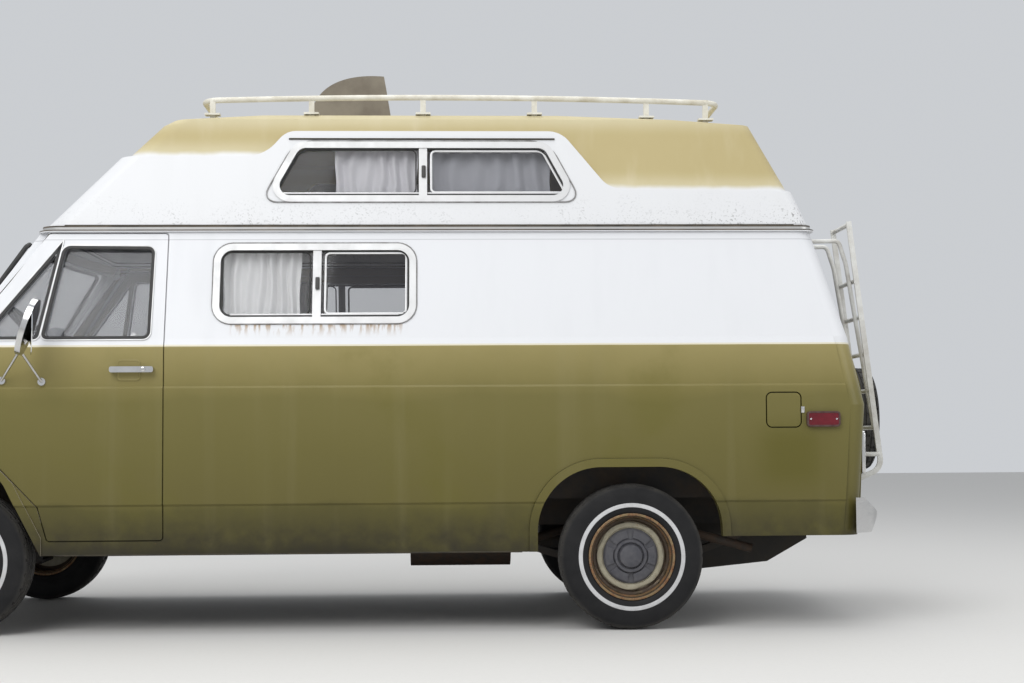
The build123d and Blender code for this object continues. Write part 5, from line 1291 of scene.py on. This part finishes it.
def sewSeat(piece, along):
    # along says how far a point is up or down the seat, where the pleats run across
    def away(point):
        across = abs(point.y + seatY)
        if across < seatLook["panel"]:
            return min(abs(along(point) % seatLook["pleat"] - seatLook["pleat"] / 2), 0.05)
        return abs(across - seatLook["border"])
    sewn(piece, away, seatLook["seamDepth"], seatLook["seamReach"])


cushion = seatPad("seat_cushion_left", seatLook["cushion"])
sewSeat(cushion, lambda point: point.x - rearAxle - seatLook["pleatStart"])
back = seatPad("seat_back_left", seatLook["back"])
sewSeat(back, lambda point: point.z - backZ)
hinge = Vector((rearAxle + backX, 0, backZ))
back.data.transform(Matrix.Translation(hinge) @ Matrix.Rotation(math.radians(seatLook["lean"]), 4, "Y")
                    @ Matrix.Translation(-hinge))
for piece, label in ((cushion, "cushion"), (back, "back")):
    twin = crossed(piece, f"seat_{label}_right")
    for one in (piece, twin):
        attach(one, "body")
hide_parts("seats")
for sideName, side in sides.items():
    y = side * seatY
    base = block(f"seat_box_{sideName}", (rearAxle - 2.66, y - 0.16, floorTop),
                 (rearAxle - 2.38, y + 0.16, 0.905), chassisPaint, edge=0.012, segments=3)
    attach(base, "body")
    for dy in (-0.13, 0.13):
        place = "inner" if dy * side < 0 else "outer"
        piece = block(f"seat_slide_{sideName}_{place}", (rearAxle - 2.77, y + dy - 0.012, 0.890),
                      (rearAxle - 2.37, y + dy + 0.012, 0.908), postAlloy, edge=0.003)
        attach(piece, "body")
bedLook = {"front": -0.650, "rear": 0.940, "half": 0.880, "under": 0.860, "board": 0.895, "top": 0.992,
           "tufts": (0.265, 0.293), "tuftDepth": 0.010, "tuftReach": 0.022}
front, rear, half = bedLook["front"], bedLook["rear"], bedLook["half"]
under, board = bedLook["under"], bedLook["board"]
mattress = stuffed("mattress", (rearAxle + front + 0.015, 0.015 - half, board + 0.010),
                   (rearAxle + rear - 0.015, half - 0.015, bedLook["top"] - 0.012), bedFabric, 0.022, 0.012,
                   0.035)


def offTuft(point):
    # how far a point is from the nearest sewn line of the mattress
    along, across = bedLook["tufts"]
    return min(abs((point.x - rearAxle - front) % along - along / 2), abs(point.y % across - across / 2))


sewn(mattress, offTuft, bedLook["tuftDepth"], bedLook["tuftReach"])
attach(mattress, "body")
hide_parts("bed")
for name, low, high in (
        ("bed_board", (front, -half, under), (rear, half, board)),
        ("bed_front_board", (front, -0.700, floorTop), (front + 0.030, 0.700, under)),
        ("bed_post_left", (rear - 0.060, -0.740, floorTop), (rear, -0.700, under)),
        ("bed_post_right", (rear - 0.060, 0.700, floorTop), (rear, 0.740, under))):
    piece = block(name, (rearAxle + low[0], *low[1:]), (rearAxle + high[0], *high[1:]), cabinetWood,
                  edge=0.003)
    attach(piece, "body")
print("seats and bed ready")

# Dashboard dials, with their ticks and needles
dashLook = {"x": -3.042, "face": 0.0645, "dialY": -0.480, "dialZ": 1.387, "dialSteps": 40,
            "ticks": 9, "firstTick": -120, "tickStep": 30, "tickInset": 0.016,
            "halfTick": (0.0006, 0.002, 0.002),
            # name, place across from the middle of the panel, radius
            "dials": (("speed", -0.085, 0.062), ("fuel", 0.085, 0.062), ("oil", 0.0, 0.024))}
dialMark = plainMaterial("dialMark", (0.62, 0.62, 0.58), (0.50, 0.50, 0.46), 0.6, size=60.0)
halfTick = Vector(dashLook["halfTick"])
for label, y, radius in dashLook["dials"]:
    centre = Vector((rearAxle + dashLook["x"] + dashLook["face"], dashLook["dialY"] + y, dashLook["dialZ"]))
    dialProfile = [(0.0, radius), (0.006, radius), (0.008, radius - 0.003), (0.006, radius - 0.006),
                   (0.001, radius - 0.007), (0.001, 0.0), (0.0, 0.0)]
    rim = turned(f"dial_rim_{label}", dialProfile, dashLook["dialSteps"], darkPlastic)
    rim.data.transform(Matrix.Translation(centre) @ Matrix.Rotation(math.pi / 2, 4, "Z"))
    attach(rim, "body")
    marks = []
    reach = radius - dashLook["tickInset"]
    for tick in range(dashLook["ticks"]):
        turn = math.radians(dashLook["firstTick"] + dashLook["tickStep"] * tick)
        spot = centre + Vector((0.0022, math.sin(turn) * reach, math.cos(turn) * reach))
        marks.append(block(f"tick_{label}_{tick}", spot - halfTick, spot + halfTick, dialMark, edge=0.0))
    tip = centre + Vector((0.003, -0.6 * radius, 0.35 * radius))
    marks.append(rod(f"needle_{label}", centre + Vector((0.003, 0, 0)), tip, 0.0012, lampAmber, sides=8))
    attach(joined(f"dial_marks_{label}", marks), "body")
print("dashboard ready")

# Small parts on the sides
wallPad("flap_tab", "body", -1, rectangle(0.817, 1.036, 0.016, 0.030), 0.003, 0.006, 0.0, chrome)
for sideName, side in sides.items():
    # sill flange under the doors, and the seam along the foot of the high top
    foot = [onWall("body", side, x, 0.376, -0.004) for x in (-2.70, -2.0, -1.2, -0.52)]
    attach(bead(f"sill_flange_{sideName}", foot, 0.005, gasketDirt, closed=False), "body")
    seam = [onWall("top", side, x, 1.939, 0.0005) for x in (-2.70, -1.8, -0.9, 0.0, 0.82)]
    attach(bead(f"top_seam_{sideName}", seam, 0.004, gasketDirt, closed=False), "body")
print("small parts ready")

# Camera at the photograph's place
cameraLook = {"place": (0.38093, -8.66719, 0.91309), "yaw": 2.275, "pitch": 3.379, "roll": -0.357,
              "lens": 57.03}
yaw, pitch, roll = (math.radians(cameraLook[key]) for key in ("yaw", "pitch", "roll"))
ahead = Vector((math.sin(yaw), math.cos(yaw), 0))
right = Vector((math.cos(yaw), -math.sin(yaw), 0))
up = Vector((0, 0, 1))
ahead, up = ahead * math.cos(pitch) + up * math.sin(pitch), up * math.cos(pitch) - ahead * math.sin(pitch)
right, up = right * math.cos(roll) + up * math.sin(roll), up * math.cos(roll) - right * math.sin(roll)
bpy.ops.object.camera_add(location=cameraLook["place"])
camera = bpy.context.object
turnTo = Matrix((right, up, -ahead)).transposed().to_4x4()
camera.matrix_world = Matrix.Translation(cameraLook["place"]) @ turnTo
camera.data.lens = cameraLook["lens"]
camera.data.sensor_width = 36
camera.data.sensor_fit = "HORIZONTAL"
camera.data.clip_end = 200
bpy.context.scene.camera = camera

# Floor and studio light
studioLook = {"floor": (0.62, 0.61, 0.59), "world": (0.93, 0.96, 1.0), "worldStrength": 0.64}
bpy.context.scene.view_settings.view_transform = "Standard"
clearSelection()
bpy.ops.mesh.primitive_plane_add(size=60)
studioFloor = named("studioFloor")
floorFinish, tree, shader, coordinates = newMaterial("floorFinish", studioLook["floor"], 0.85)
speckle = spotMask(tree, coordinates.outputs["Object"], 40.0)
feed(shader, "Base Color", blendColour(tree, times(tree, speckle, 0.12), studioLook["floor"],
                                       (0.5, 0.49, 0.47)))
studioFloor.data.materials.append(floorFinish)
world = bpy.data.worlds.new("studio")
bpy.context.scene.world = world
world.use_nodes = True
world.node_tree.nodes["Background"].inputs["Color"].default_value = (*studioLook["world"], 1)
world.node_tree.nodes["Background"].inputs["Strength"].default_value = studioLook["worldStrength"]
for name, place, aim, size, power in [("keyLight", (-4.0, -9.0, 8.5), (0, 0, 1.2), 7.0, 760),
                                      ("topLight", (0.5, 0.5, 9.0), (0, 0, 0), 9.0, 430),
                                      ("fillLight", (8.5, -6.0, 4.0), (0, 0, 1.0), 5.0, 150)]:
    bpy.ops.object.light_add(type="AREA", location=place)
    light = bpy.context.object
    light.name = name
    light.data.size = size
    light.data.energy = power
    light.rotation_euler = (Vector(aim) - Vector(place)).to_track_quat("-Z", "Y").to_euler()
print("camera and light ready")
